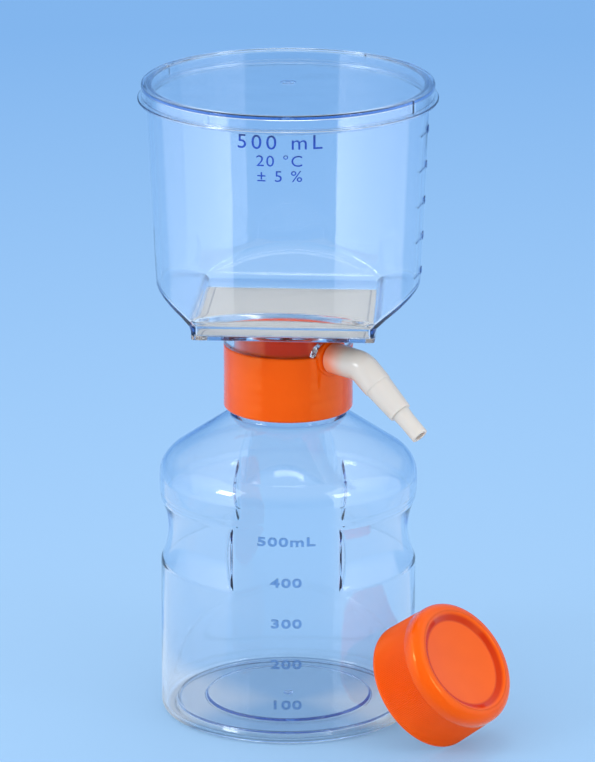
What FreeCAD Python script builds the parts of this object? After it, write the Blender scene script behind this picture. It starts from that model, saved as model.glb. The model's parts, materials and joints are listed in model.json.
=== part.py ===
import FreeCAD, Part
import math
import os
import re

import Sketcher

# Vacuum filtration unit: a filter funnel screwed on a receiver bottle.
# Millimetres, +Z up. The origin is on the bottle's axis at the plane it stands on.
# The bottle's label panels face -Y and +Y, its finger grips face -X and +X.

Vector = FreeCAD.Vector
Rotation = FreeCAD.Rotation
Placement = FreeCAD.Placement

doc = FreeCAD.newDocument("FiltrationUnit")

# ---------------------------------------------------------------- driving dimensions

SIZES = [
    # receiver bottle
    ("bottle_radius", 47.0, "outer radius of the bottle's body"),
    ("bottle_wall", 1.4, "wall of the bottle"),
    ("heel_radius", 2.5, "rounding between body and foot"),
    ("foot_width", 3.0, "width of the flat foot ring"),
    ("foot_bevel", 1.2, "how far the foot ring's inner side slopes in"),
    ("push_up", 3.2, "height of the raised middle of the base"),
    ("base_step", 1.0, "height of the ring step in the base"),
    ("base_step_radius", 30.0, "radius of the ring step in the base"),
    ("shoulder_bulge", 0.4, "how far the upper body stands out past the lower body"),
    ("bulge_lift", 1.0, "distance from the finger grips up to the start of the bulge"),
    ("bulge_ramp", 2.0, "height over which the bulge swells out"),
    ("bulge_height", 5.5, "height of the bulge's even part, up to the turn into the shoulder"),
    ("shoulder_rounding", 10.0, "radius of the turn into the shoulder"),
    ("shoulder_slope", 34.5, "slope of the shoulder in degrees"),
    ("grip_low", 57.5, "lower end of the finger grips"),
    ("grip_height", 24.0, "height of the finger grips"),
    ("grip_depth", 2.8, "depth of the finger grips"),
    ("panel_angle", 50.5, "angle taken by each label panel between the grips, in degrees"),
    ("bottle_turn", 2.5, "how far the bottle's panels are turned from the funnel's faces, in degrees"),
    ("neck_radius", 20.6, "outer radius of the neck, below its thread"),
    ("neck_wall", 2.4, "wall of the neck"),
    ("neck_height", 20.32, "height of the neck from the shoulder to the lip"),
    # screw threads on bottle, adapter and cap
    ("thread_pitch", 4.0, "rise of the thread in one turn"),
    ("thread_depth", 1.3, "how far the thread stands out from the neck"),
    ("thread_root", 0.4, "how far the thread's ridge is rooted in its wall"),
    ("thread_foot", 2.9, "height of the thread's ridge at its root"),
    ("thread_crest", 1.0, "height of the thread's ridge at its crest"),
    ("thread_gap", 0.4, "radial clearance between a thread and the wall it faces"),
    ("thread_drop", 11.0, "height of the lip above the start of the neck's thread"),
    ("neck_turns", 1.25, "turns of the neck's thread"),
    ("cap_turns", 0.75, "turns of the thread inside the adapter and the cap"),
    # gasket
    ("gasket_thickness", 2.0, "thickness of the neck gasket"),
    # threaded adapter
    ("skirt_wall", 1.5, "wall of the adapter's skirt"),
    ("skirt_foot_gap", 2.12, "height of the skirt's lower edge over the top of the shoulder"),
    ("skirt_rise", 4.1, "height of the skirt's upper edge over the seat on the gasket"),
    ("skirt_rounding", 0.8, "rounding of the skirt's edges"),
    ("seat_overhang", 0.9, "how much narrower the hub's chamber is than the neck's bore"),
    ("hub_wall", 2.6, "wall of the adapter's hub"),
    ("hub_height", 13.5, "height of the hub over the seat on the gasket"),
    ("port_rise", 3.1, "height of the side port's axis over the seat on the gasket"),
    ("port_direction", 46.0, "direction of the side port from -Y toward +X, in degrees"),
    ("port_boss_radius", 7.0, "radius of the boss round the side port"),
    ("port_boss_proud", 0.6, "how far the boss's face stands out past the skirt"),
    ("nipple_radius", 3.2, "outer radius of the port's nipple"),
    ("nipple_length", 8.6, "length of the port's nipple"),
    ("port_bore", 2.0, "inner radius of the side port"),
    # support plate
    ("plate_thickness", 1.6, "thickness of the support plate"),
    ("plate_half", 33.2, "half the side of the square plate"),
    ("port_gap", 0.3, "clearance between the port's boss and the plate's notch"),
    ("socket_gap", 0.15, "radial clearance between hub and socket ring"),
    ("socket_wall", 3.6, "wall of the socket ring"),
    ("drain_inset", 2.3, "distance from the membrane's edge in to the drained field"),
    ("drain_depth", 0.8, "depth of the drained field"),
    ("drain_rib", 0.9, "width of a drain rib"),
    ("drain_pitch", 4.0, "spacing of the drain ribs"),
    ("drain_margin", 6.0, "distance from the field's edge to the drain ribs' ends"),
    ("spout_radius", 3.4, "outer radius of the drip spout at the plate"),
    ("spout_tip", 2.7, "outer radius of the drip spout at its tip"),
    ("spout_bore", 2.0, "inner radius of the drip spout"),
    ("spout_length", 21.0, "length of the drip spout under the plate"),
    # membrane
    ("membrane_inset", 1.3, "distance from the plate's edge in to the membrane's"),
    ("membrane_thickness", 0.3, "thickness of the membrane"),
    ("membrane_gap", 0.15, "clearance round the membrane in its rebate"),
    # funnel
    ("funnel_wall", 1.6, "wall of the funnel"),
    ("collar_height", 3.6, "height of the funnel's square foot"),
    ("face_slope", 27.0, "slope of the funnel's four arched faces in degrees"),
    ("barrel_margin", 0.848, "how far the barrel's foot stands out past the square foot's corners"),
    ("barrel_flare", 3.55, "how much wider the barrel's rim is than its foot"),
    ("funnel_height", 85.2, "height of the funnel from the plate to its rim"),
    ("rim_rise", 3.8, "height of the rim over the top of the funnel's flange"),
    ("flange_thickness", 1.0, "thickness of the funnel's flange"),
    ("flange_width", 3.15, "how far the flange stands out past the barrel's rim"),
    # lid
    ("lid_thickness", 1.2, "thickness of the lid's disc"),
    ("lid_gap", 0.3, "radial clearance between rim and lid"),
    ("lid_wall", 1.5, "wall of the lid's skirt"),
    ("lid_foot_gap", 0.3, "gap between the lid's skirt and the flange"),
    ("lid_rounding", 0.7, "rounding of the lid's upper edge"),
    ("lid_ledge", 3.2, "width of the raised ring at the lid's edge"),
    ("lid_ledge_height", 0.4, "height of the raised ring above the lid's disc"),
    ("lid_rib_radius", 0.9, "radius of the lid's vent ribs"),
    ("lid_rib_sink", 0.25, "how far a vent rib's axis lies inside the lid's outer face"),
    ("lid_rib_direction", 61.0, "direction of the first vent rib from +X, in degrees"),
    # hose connector
    ("connector_wall", 2.5, "wall of the connector's socket"),
    ("connector_gap", 0.1, "gap between boss and connector"),
    ("connector_fit", 0.05, "radial clearance on the nipple"),
    ("connector_spare", 0.5, "room in the connector's socket past the nipple's end"),
    ("connector_root", 14.7, "length from the socket's face to the bend"),
    ("connector_bend", 39.4, "angle of the bend in degrees"),
    ("connector_neck", 5.55, "outer radius at the bend"),
    ("connector_swivel", 11.0, "how far the outlet is turned from straight down, in degrees"),
    ("connector_bore", 2.1, "inner radius of the connector's passage"),
    ("outlet_first", 10.0, "distance from the bend to the first step"),
    ("outlet_second", 23.0, "distance from the bend to the second step"),
    ("outlet_end", 34.3, "distance from the bend to the tip"),
    ("outlet_radius_upper", 5.45, "outer radius before the first step"),
    ("outlet_radius_first", 5.2, "outer radius after the first step"),
    ("outlet_radius_narrow", 4.35, "outer radius before the second step"),
    ("outlet_radius_second", 3.5, "outer radius after the second step"),
    ("outlet_radius_end", 3.2, "outer radius of the even stretch at the tip"),
    ("outlet_grip", 8.0, "length of the even stretch at the tip"),
    # storage cap
    ("cap_wall", 2.1, "wall of the cap at its lip"),
    ("cap_taper", 0.6, "how much narrower the cap is at its shoulder"),
    ("cap_thread_lift", 5.3, "height of the start of the cap's thread over its lip"),
    ("cap_shoulder", 3.8, "rounding of the cap's shoulder"),
    ("cap_top", 2.2, "thickness of the cap's top"),
    ("cap_crest_width", 0.7, "width of the flat crest of the cap's raised ring"),
    ("cap_dish_slope", 2.5, "width of the slope from the crest down to the dished middle"),
    ("cap_dish_depth", 2.0, "depth of the dished middle"),
    ("cap_dish_dip", 0.9, "how far the dished middle bows in"),
    ("cap_plug_gap", 0.1, "clearance between the plug seal and the neck's bore"),
    ("cap_plug_wall", 1.2, "wall of the plug seal inside the cap"),
    ("cap_plug_length", 3.0, "length of the plug seal"),
    ("cap_tilt", 36.5, "how far the leaning cap's axis points above level, in degrees"),
    ("cap_direction", -33.3, "direction of the leaning cap's axis from +X, in degrees"),
    ("cap_lean_gap", 0.05, "gap between the leaning cap and the bottle"),
]

# Values worked out from the sizes, so that each piece follows the one it stands on or fits.
WORKED_OUT = [
    ("grip_high", "grip_low + grip_height", "upper end of the finger grips"),
    ("shoulder_start", "grip_high + bulge_lift + bulge_ramp + bulge_height", "turn into the shoulder"),
    ("slope_radius", "bottle_radius + shoulder_bulge - shoulder_rounding * (1 - sin(shoulder_slope))",
     "radius at the end of the shoulder's turn"),
    ("slope_low", "shoulder_start + shoulder_rounding * cos(shoulder_slope)",
     "height at the end of the shoulder's turn"),
    ("shoulder_top", "slope_low + (slope_radius - neck_radius) * tan(shoulder_slope)", "foot of the neck"),
    ("lip_height", "shoulder_top + neck_height", "height of the bottle's lip"),
    ("neck_bore", "neck_radius - neck_wall", "inner radius of the neck"),
    ("thread_bore", "neck_radius + thread_depth + thread_gap", "bore of the adapter and the cap"),
    ("seat", "lip_height + gasket_thickness", "height of the adapter's seat on the gasket"),
    ("skirt_radius", "thread_bore + skirt_wall", "outer radius of the adapter's skirt"),
    ("skirt_low", "shoulder_top + skirt_foot_gap", "lower edge of the adapter's skirt"),
    ("skirt_high", "seat + skirt_rise", "upper edge of the adapter's skirt"),
    ("chamber", "neck_bore - seat_overhang", "inner radius of the adapter's hub"),
    ("hub_radius", "chamber + hub_wall", "outer radius of the adapter's hub"),
    ("port_height", "seat + port_rise", "height of the side port's axis"),
    ("port_boss_reach", "skirt_radius + port_boss_proud", "distance of the boss's face from the axis"),
    ("plate_low", "seat + hub_height", "underside of the support plate"),
    ("plate_top", "plate_low + plate_thickness", "top of the support plate"),
    ("socket_bore", "hub_radius + socket_gap", "inner radius of the socket ring"),
    ("membrane_half", "plate_half - membrane_inset", "half the side of the membrane"),
    ("drain_half", "membrane_half - drain_inset", "half the side of the drained field"),
    ("barrel_low_radius", "plate_half * sqrt(2) + barrel_margin", "outer radius of the barrel's foot"),
    ("barrel_high_radius", "barrel_low_radius + barrel_flare", "outer radius of the barrel's rim"),
    ("rim_height", "plate_top + funnel_height", "height of the funnel's rim"),
    ("flange_height", "rim_height - rim_rise", "top of the funnel's flange"),
    ("flange_radius", "barrel_high_radius + flange_width", "outer radius of the funnel's flange"),
    ("lid_bore", "barrel_high_radius + lid_gap", "inner radius of the lid's skirt"),
    ("lid_outer", "lid_bore + lid_wall", "outer radius of the lid's skirt"),
    ("socket_radius", "nipple_radius + connector_fit", "inner radius of the connector's socket"),
    ("connector_radius", "socket_radius + connector_wall", "outer radius of the connector's socket"),
    ("cap_radius", "thread_bore + cap_wall", "outer radius of the cap's lip"),
    ("cap_ceiling", "cap_thread_lift + thread_pitch / 2 + thread_drop", "depth of the cap's bore"),
    ("cap_height", "cap_ceiling + cap_top + cap_dish_dip + cap_dish_depth", "height of the cap"),
    ("cap_crest", "cap_radius - cap_taper - cap_shoulder - cap_crest_width", "inner edge of the crest"),
    ("cap_dish_radius", "cap_crest - cap_dish_slope", "radius of the dished middle"),
]

LID_RIBS = 4

# How far a cutting tool runs past the face that it cuts.
SPARE = 1

CELLS = [(alias, str(number), note) for alias, number, note in SIZES]
CELLS += [(alias, f"={formula}", note) for alias, formula, note in WORKED_OUT]
ALIASES = {alias for alias, content, note in CELLS}

sheet = doc.addObject("Spreadsheet::Sheet", "Sizes")
for row, (alias, content, note) in enumerate(CELLS, start=1):
    sheet.set(f"A{row}", alias)
    sheet.set(f"B{row}", content)
    sheet.set(f"C{row}", note)
    sheet.setAlias(f"B{row}", alias)
doc.recompute()


# ---------------------------------------------------------------- helpers

def linked(formula):
    """The formula with each size's alias turned into a reference to its cell."""
    def refer(word):
        return f"Sizes.{word.group()}" if word.group() in ALIASES else word.group()
    return re.sub(r"[a-z_]+", refer, str(formula))


def worth(formula):
    """The formula's present value as a number."""
    return float(sheet.evalExpression(linked(formula)))


def bind(thing, **formulas):
    """Bind each named property of an object to a formula of sizes."""
    for name, formula in formulas.items():
        thing.setExpression(name, linked(formula))


def new_body(name):
    """A PartDesign body for one sub-part, or for a tool that shapes one."""
    body = doc.addObject("PartDesign::Body", name)
    body.Label = name
    return body


def new_sketch(body, name, role="XY_Plane", lift=None, turn=None):
    """A sketch on one of the body's own planes, lifted along Z or turned about Z."""
    sketch = body.newObject("Sketcher::SketchObject", name)
    plane = [part for part in body.Origin.OriginFeatures if part.Role == role][0]
    sketch.AttachmentSupport = (plane, [""])
    sketch.MapMode = "FlatFace"
    if lift is not None:
        sketch.setExpression("AttachmentOffset.Base.z", linked(lift))
    if turn is not None:
        sketch.AttachmentOffset = Placement(Vector(), Rotation(Vector(0, 1, 0), worth(turn)))
        sketch.setExpression("AttachmentOffset.Rotation.Angle", linked(turn))
    return sketch


def locate(sketch, edge, end, across, up, label):
    """Hold one end of an edge at a place given by two formulas."""
    for kind, axis, formula in (("DistanceX", -2, across), ("DistanceY", -1, up)):
        number = worth(formula)
        if str(formula) == "0":
            sketch.addConstraint(Sketcher.Constraint("PointOnObject", edge, end, axis))
            continue
        index = sketch.addConstraint(Sketcher.Constraint(kind, -1, 1, edge, end, number))
        name = f"{label}_{kind[-1].lower()}"
        sketch.renameConstraint(index, name)
        sketch.setExpression(f"Constraints.{name}", linked(formula))


def arc_between(start, finish, radius):
    """An arc from start to finish. A positive radius turns left, a negative one right."""
    chord = finish - start
    middle = (start + finish) / 2
    left = Vector(-chord.y, chord.x, 0).normalize()
    rise = math.sqrt(max(radius**2 - (chord.Length / 2) ** 2, 0))
    centre = middle + left * math.copysign(rise, radius)
    first, last = (start, finish) if radius > 0 else (finish, start)
    angles = [math.atan2(point.y - centre.y, point.x - centre.x) for point in (first, last)]
    circle = Part.Circle(centre, Vector(0, 0, 1), abs(radius))
    return Part.ArcOfCircle(circle, angles[0], angles[1])


def outline(sketch, points):
    """A closed outline. Each point is (across, up), and a third entry is the radius of
    the arc that runs on from it: plain for a left turn, or led by a minus for a right turn."""
    places = [Vector(worth(point[0]), worth(point[1]), 0) for point in points]
    count = len(points)
    ends = []
    for index, point in enumerate(points):
        start = places[index]
        finish = places[(index + 1) % count]
        if len(point) == 2:
            edge = sketch.addGeometry(Part.LineSegment(start, finish))
            ends.append((edge, 1, 2))
            continue
        radius = worth(point[2])
        edge = sketch.addGeometry(arc_between(start, finish, radius))
        ends.append((edge, 1, 2) if radius > 0 else (edge, 2, 1))
        held = sketch.addConstraint(Sketcher.Constraint("Radius", edge, abs(radius)))
        sketch.renameConstraint(held, f"round_{index}")
        formula = str(point[2]) if radius > 0 else f"-({point[2]})"
        sketch.setExpression(f"Constraints.round_{index}", linked(formula))
    for index, (edge, start, finish) in enumerate(ends):
        following, following_start, following_finish = ends[(index + 1) % count]
        meeting = Sketcher.Constraint("Coincident", edge, finish, following, following_start)
        sketch.addConstraint(meeting)
        locate(sketch, edge, start, points[index][0], points[index][1], f"point_{index}")


def circle(sketch, radius, across="0", up="0", label="hole"):
    """A circle at a place given by formulas."""
    centre = Vector(worth(across), worth(up), 0)
    edge = sketch.addGeometry(Part.Circle(centre, Vector(0, 0, 1), worth(radius)))
    held = sketch.addConstraint(Sketcher.Constraint("Radius", edge, worth(radius)))
    sketch.renameConstraint(held, f"{label}_radius")
    sketch.setExpression(f"Constraints.{label}_radius", linked(radius))
    locate(sketch, edge, 3, across, up, label)


def rectangle(sketch, left, low, right, high):
    """An upright rectangle between four formulas."""
    outline(sketch, [(left, low), (right, low), (right, high), (left, high)])


def square(sketch, half):
    """A square centred on the sketch's origin."""
    rectangle(sketch, f"-({half})", f"-({half})", half, half)


def turned(body, name, points, kind="PartDesign::Revolution", sweep=None, sketch=None, axis="V_Axis"):
    """A full turn of an outline about the sketch's axis, or a part turn centred on its plane."""
    sketch = sketch or new_sketch(body, f"{name}_outline", "XZ_Plane")
    outline(sketch, points)
    feature = body.newObject(kind, name)
    feature.Profile = sketch
    feature.ReferenceAxis = (sketch, [axis])
    feature.Angle = 360
    if sweep is not None:
        feature.Midplane = True
        bind(feature, Angle=sweep)
    return feature


def raised(body, name, sketch, length, kind="PartDesign::Pad", reverse=False):
    """A pad or a pocket of a sketch over a length."""
    feature = body.newObject(kind, name)
    feature.Profile = sketch
    feature.Reversed = reverse
    bind(feature, Length=length)
    return feature


def patterned(body, name, feature, kind, **settings):
    """Repeat one feature of a body and make the pattern its tip."""
    pattern = body.newObject(kind, name)
    pattern.Originals = [feature]
    for key, setting in settings.items():
        setattr(pattern, key, setting)
    body.Tip = pattern
    return pattern


def axis_of(body, role="Z_Axis"):
    """One of the body's own axes, as a pattern or a feature names it."""
    return ([part for part in body.Origin.OriginFeatures if part.Role == role][0], [""])


def combined(name, kind, base, tool):
    """A Part boolean of two objects."""
    joined = doc.addObject(kind, name)
    joined.Base = base
    joined.Tool = tool
    joined.Label = name
    return joined


def merged(name, shapes, kind="Part::MultiFuse"):
    """A Part boolean of several objects."""
    joined = doc.addObject(kind, name)
    joined.Shapes = shapes
    joined.Label = name
    return joined


def solid(name, kind, base=("0", "0", "0"), **formulas):
    """A Part primitive with its sizes and its place bound to formulas."""
    primitive = doc.addObject(kind, name)
    bind(primitive, **formulas)
    for letter, formula in zip("xyz", base):
        primitive.setExpression(f"Placement.Base.{letter}", linked(formula))
    return primitive


# ---------------------------------------------------------------- receiver bottle

def bottle_skin(name, inset, floor):
    """The bottle's body without its neck: the outside, or the inside set in by the wall."""
    body = new_body(name)
    radius = f"(bottle_radius - {inset})"
    upper = f"(bottle_radius + shoulder_bulge - {inset})"
    turn = f"(shoulder_rounding - {inset})"
    foot_outer = "(bottle_radius - heel_radius)"
    foot_inner = f"({foot_outer} - foot_width)"
    slope_across = f"({upper} - {turn} * (1 - sin(shoulder_slope)))"
    slope_up = f"(shoulder_start + {turn} * cos(shoulder_slope))"
    neck = "neck_radius" if inset == "0" else "neck_bore"
    neck_up = f"({slope_up} + ({slope_across} - {neck}) * tan(shoulder_slope))"
    top = "lip_height" if inset == "0" else f"(lip_height + {SPARE})"
    ring_up = f"(push_up - base_step + {floor})"
    bevel_shift = f"({inset} * tan(atan((push_up - base_step) / foot_bevel) / 2))"
    turned(body, f"{name}_turning", [
        ("0", f"push_up + {floor}"),
        ("base_step_radius", f"push_up + {floor}"),
        ("base_step_radius + base_step", ring_up),
        (f"{foot_inner} - foot_bevel + {bevel_shift}", ring_up),
        (f"{foot_inner} + {bevel_shift}", floor),
        (foot_outer, floor, f"heel_radius - {inset}"),
        (radius, f"heel_radius - {inset} + {floor}"),
        (radius, "grip_high + bulge_lift"),
        (upper, "grip_high + bulge_lift + bulge_ramp"),
        (upper, "shoulder_start", turn),
        (slope_across, slope_up),
        (neck, neck_up),
        (neck, top),
        ("0", top),
    ])
    middle = "((grip_low + grip_high) / 2)"
    bow = "((((grip_high - grip_low) / 2)^2 + grip_depth^2) / (2 * grip_depth))"
    centre = f"(bottle_radius - grip_depth + {bow})"
    reach = f"sqrt(({bow} + {inset})^2 - ({centre} - {radius})^2)"
    grip = turned(body, f"{name}_grip", [
        (radius, f"{middle} - {reach}"),
        (f"{radius} + {SPARE}", f"{middle} - {reach}"),
        (f"{radius} + {SPARE}", f"{middle} + {reach}"),
        (radius, f"{middle} + {reach}", f"{bow} + {inset}"),
    ], "PartDesign::Groove", f"180 - panel_angle + 2 * asin({inset} / bottle_radius) / 1 deg")
    patterned(body, f"{name}_grips", grip, "PartDesign::PolarPattern",
              Axis=axis_of(body), Angle=360, Occurrences=2)
    return body


def thread(name, radius, low, turns, side):
    """A screw ridge that stands out from a neck, side 1, or in from a bore, side -1."""
    pitch = worth("thread_pitch")
    crest = worth(radius) + side * worth("thread_depth")
    foot = worth(radius) - side * worth("thread_root")
    foot_half = worth("thread_foot / 2")
    crest_half = worth("thread_crest / 2")
    profile = Part.makePolygon([
        Vector(foot, 0, -foot_half),
        Vector(crest, 0, -crest_half),
        Vector(crest, 0, crest_half),
        Vector(foot, 0, foot_half),
        Vector(foot, 0, -foot_half),
    ])
    path = Part.Wire(Part.makeHelix(pitch, pitch * worth(turns), worth(radius)))
    ridge = doc.addObject("Part::Feature", name)
    ridge.Shape = path.makePipeShell([profile], True, True)
    ridge.Placement = Placement(Vector(0, 0, worth(low)), Rotation())
    return ridge


outside = bottle_skin("bottle_outside", "0", "0")
cavity = bottle_skin("bottle_cavity", "bottle_wall", "bottle_wall")
neck_thread = thread("neck_thread", "neck_radius", "lip_height - thread_drop", "neck_turns", 1)
doc.recompute()
threaded = merged("bottle_threaded", [outside, neck_thread])
bottle = combined("receiver_bottle", "Part::Cut", threaded, cavity)
bottle.Placement = Placement(Vector(), Rotation(Vector(0, 0, 1), worth("bottle_turn")))

# ---------------------------------------------------------------- neck gasket

gasket = new_body("neck_gasket")
turned(gasket, "gasket_ring", [
    ("neck_bore", "lip_height"),
    ("neck_radius", "lip_height"),
    ("neck_radius", "lip_height + gasket_thickness"),
    ("neck_bore", "lip_height + gasket_thickness"),
])

# ---------------------------------------------------------------- threaded adapter

adapter_body = new_body("adapter_body")
turned(adapter_body, "adapter_sleeve", [
    ("thread_bore", "skirt_low"),
    ("skirt_radius - skirt_rounding", "skirt_low", "skirt_rounding"),
    ("skirt_radius", "skirt_low + skirt_rounding"),
    ("skirt_radius", "skirt_high - skirt_rounding", "skirt_rounding"),
    ("skirt_radius - skirt_rounding", "skirt_high"),
    ("hub_radius", "skirt_high"),
    ("hub_radius", "plate_low"),
    ("chamber", "plate_low"),
    ("chamber", "seat"),
    ("thread_bore", "seat"),
])
boss_sketch = new_sketch(adapter_body, "port_boss_outline", "XZ_Plane", turn="port_direction")
circle(boss_sketch, "port_boss_radius", "0", "port_height", "boss")
raised(adapter_body, "port_boss", boss_sketch, "port_boss_reach")
nipple_sketch = new_sketch(adapter_body, "nipple_outline", "XZ_Plane", turn="port_direction")
circle(nipple_sketch, "nipple_radius", "0", "port_height", "nipple")
raised(adapter_body, "nipple", nipple_sketch, "port_boss_reach + nipple_length")
turned(adapter_body, "adapter_hollow", [
    ("0", f"skirt_low - {SPARE}"),
    ("thread_bore", f"skirt_low - {SPARE}"),
    ("thread_bore", "seat"),
    ("chamber", "seat"),
    ("chamber", f"plate_low + {SPARE}"),
    ("0", f"plate_low + {SPARE}"),
], "PartDesign::Groove")
port_sketch = new_sketch(adapter_body, "port_bore_outline", "XZ_Plane", turn="port_direction")
circle(port_sketch, "port_bore", "0", "port_height", "port")
raised(adapter_body, "port_bore_cut", port_sketch, f"port_boss_reach + nipple_length + {SPARE}",
       "PartDesign::Pocket", True)
adapter_thread = thread("adapter_thread", "thread_bore", "lip_height - thread_drop - thread_pitch / 2",
                        "cap_turns", -1)
adapter = merged("threaded_adapter", [adapter_body, adapter_thread])

# ---------------------------------------------------------------- support plate

plate = new_body("support_plate")
plate_middle = "(plate_low + plate_thickness / 2)"
plate_sketch = new_sketch(plate, "plate_outline", lift="plate_low")
square(plate_sketch, "plate_half")
raised(plate, "plate_slab", plate_sketch, "plate_thickness")
turned(plate, "socket_ring", [
    ("socket_bore", "skirt_high"),
    ("socket_bore + socket_wall", "skirt_high"),
    ("socket_bore + socket_wall", plate_middle),
    ("socket_bore", plate_middle),
])
notch_sketch = new_sketch(plate, "port_notch_outline", "XZ_Plane", turn="port_direction")
circle(notch_sketch, "port_boss_radius + port_gap", "0", "port_height", "notch")
raised(plate, "port_notch", notch_sketch, "plate_half", "PartDesign::Pocket", True)
turned(plate, "drip_spout", [
    ("0", "plate_low - spout_length"),
    ("spout_tip", "plate_low - spout_length"),
    ("spout_radius", "plate_low"),
    ("spout_radius", plate_middle),
    ("0", plate_middle),
])
drain_sketch = new_sketch(plate, "drain_outline", lift="plate_top")
square(drain_sketch, "drain_half")
raised(plate, "drain_field", drain_sketch, "drain_depth", "PartDesign::Pocket")
ribs_each_side = math.floor(worth("(drain_half - drain_rib) / drain_pitch - 1/2"))
first_rib = f"(-{ribs_each_side} * drain_pitch)"
rib_sketch = new_sketch(plate, "drain_rib_outline", lift="plate_top - drain_depth")
rectangle(rib_sketch, f"{first_rib} - drain_rib / 2", "drain_margin - drain_half",
          f"{first_rib} + drain_rib / 2", "drain_half - drain_margin")
rib = raised(plate, "drain_ribs_first", rib_sketch, "drain_depth")
rib_row = patterned(plate, "drain_ribs", rib, "PartDesign::LinearPattern",
                    Direction=axis_of(plate, "X_Axis"), Occurrences=2 * ribs_each_side + 1)
bind(rib_row, Length=f"{2 * ribs_each_side} * drain_pitch")
hole_sketch = new_sketch(plate, "spout_bore_outline", lift="plate_top")
circle(hole_sketch, "spout_bore", label="spout")
raised(plate, "spout_bore_cut", hole_sketch, f"spout_length + plate_thickness + {SPARE}",
       "PartDesign::Pocket")

# ---------------------------------------------------------------- filter membrane

membrane = solid(
    "filter_membrane", "Part::Box",
    ("-membrane_half", "-membrane_half", "plate_top"),
    Length="2 * membrane_half", Width="2 * membrane_half", Height="membrane_thickness")
membrane.Label = "filter_membrane"

# ---------------------------------------------------------------- funnel

def funnel_core(name, inset, low, high):
    """The funnel's outer form, or its hollow set in by the wall."""
    foot_top = "(plate_top + collar_height)"
    spread = f"((rim_height - {foot_top}) / tan(face_slope))"
    shift = f"({inset} * tan(45 - face_slope / 2))"
    half = f"(plate_half - {inset})"
    wide = f"({half} + {spread})"
    foot = solid(f"{name}_foot", "Part::Box", (f"-{half}", f"-{half}", low),
                 Length=f"2 * {half}", Width=f"2 * {half}", Height=f"{foot_top} + {shift} - ({low})")
    faces = doc.addObject("Part::Wedge", f"{name}_faces")
    bind(faces, Xmin=f"-{half}", Xmax=half, Zmin=f"-{half}", Zmax=half, Ymin="0",
         Ymax=f"rim_height - {foot_top}", X2min=f"-{wide}", X2max=wide, Z2min=f"-{wide}", Z2max=wide)
    faces.Placement = Placement(Vector(), Rotation(Vector(1, 0, 0), 90))
    faces.setExpression("Placement.Base.z", linked(f"{foot_top} + {shift}"))
    barrel = solid(f"{name}_barrel", "Part::Cone", ("0", "0", f"{foot_top} + {shift}"),
                   Radius1=f"barrel_low_radius - {inset}", Radius2=f"barrel_high_radius - {inset}",
                   Height=f"{high} - {foot_top} - {shift}")
    arched = merged(f"{name}_arched", [faces, barrel], "Part::MultiCommon")
    return merged(f"{name}_core", [arched, foot])


funnel_outer = funnel_core("funnel_outer", "0", "plate_top", "rim_height")
funnel_inner = funnel_core("funnel_inner", "funnel_wall", f"plate_top - {SPARE}",
                           f"rim_height + {SPARE}")
flange = solid("funnel_flange_disc", "Part::Cylinder", ("0", "0", "flange_height - flange_thickness"),
               Radius="flange_radius", Height="flange_thickness")
rebate_half = "(membrane_half + membrane_gap)"
rebate = solid("membrane_rebate", "Part::Box",
               (f"-{rebate_half}", f"-{rebate_half}", f"plate_top - {SPARE}"),
               Length=f"2 * {rebate_half}", Width=f"2 * {rebate_half}",
               Height=f"membrane_thickness + {SPARE}")
funnel_blank = merged("funnel_blank", [funnel_outer, flange])
funnel_hollow = merged("funnel_hollow", [funnel_inner, rebate])
funnel = combined("funnel", "Part::Cut", funnel_blank, funnel_hollow)

# ---------------------------------------------------------------- funnel lid

lid = new_body("funnel_lid")
lid_top = "(rim_height + lid_thickness)"
lid_edge = "(lid_outer - lid_ledge)"
lid_foot = "(flange_height + lid_foot_gap)"
turned(lid, "lid_disc", [
    ("0", "rim_height"),
    ("lid_bore", "rim_height"),
    ("lid_bore", lid_foot),
    ("lid_outer", lid_foot),
    ("lid_outer", f"{lid_top} + lid_ledge_height - lid_rounding", "lid_rounding"),
    ("lid_outer - lid_rounding", f"{lid_top} + lid_ledge_height"),
    (lid_edge, f"{lid_top} + lid_ledge_height"),
    (f"{lid_edge} - lid_ledge_height", lid_top),
    ("0", lid_top),
])
lid_rib_sketch = new_sketch(lid, "lid_rib_outline", lift=lid_foot)
circle(lid_rib_sketch, "lid_rib_radius",
       "(lid_outer - lid_rib_sink) * cos(lid_rib_direction)",
       "(lid_outer - lid_rib_sink) * sin(lid_rib_direction)", "rib")
lid_rib = raised(lid, "lid_rib", lid_rib_sketch, f"{lid_top} - {lid_foot}")
patterned(lid, "lid_ribs", lid_rib, "PartDesign::PolarPattern",
          Axis=axis_of(lid), Angle=360, Occurrences=LID_RIBS)

# ---------------------------------------------------------------- hose connector

# Modelled along +X from its socket's face, with the outlet bent down, then placed on the port.
connector = new_body("hose_connector")
socket_depth = "(nipple_length - connector_gap + connector_spare)"
turned(connector, "connector_root_leg", [
    ("0", "0"),
    ("connector_root + connector_neck", "0", "connector_neck"),
    ("connector_root", "connector_neck"),
    ("0", "connector_radius"),
], sketch=new_sketch(connector, "connector_root_outline", "XZ_Plane"), axis="H_Axis")


def outlet_sketch(name):
    """A sketch whose across axis runs down the outlet from the bend."""
    sketch = new_sketch(connector, name, "XZ_Plane")
    sketch.AttachmentOffset = Placement(Vector(), Rotation(Vector(0, 0, -1), worth("connector_bend")))
    sketch.setExpression("AttachmentOffset.Base.x", linked("connector_root"))
    sketch.setExpression("AttachmentOffset.Rotation.Angle", linked("connector_bend"))
    return sketch


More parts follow.
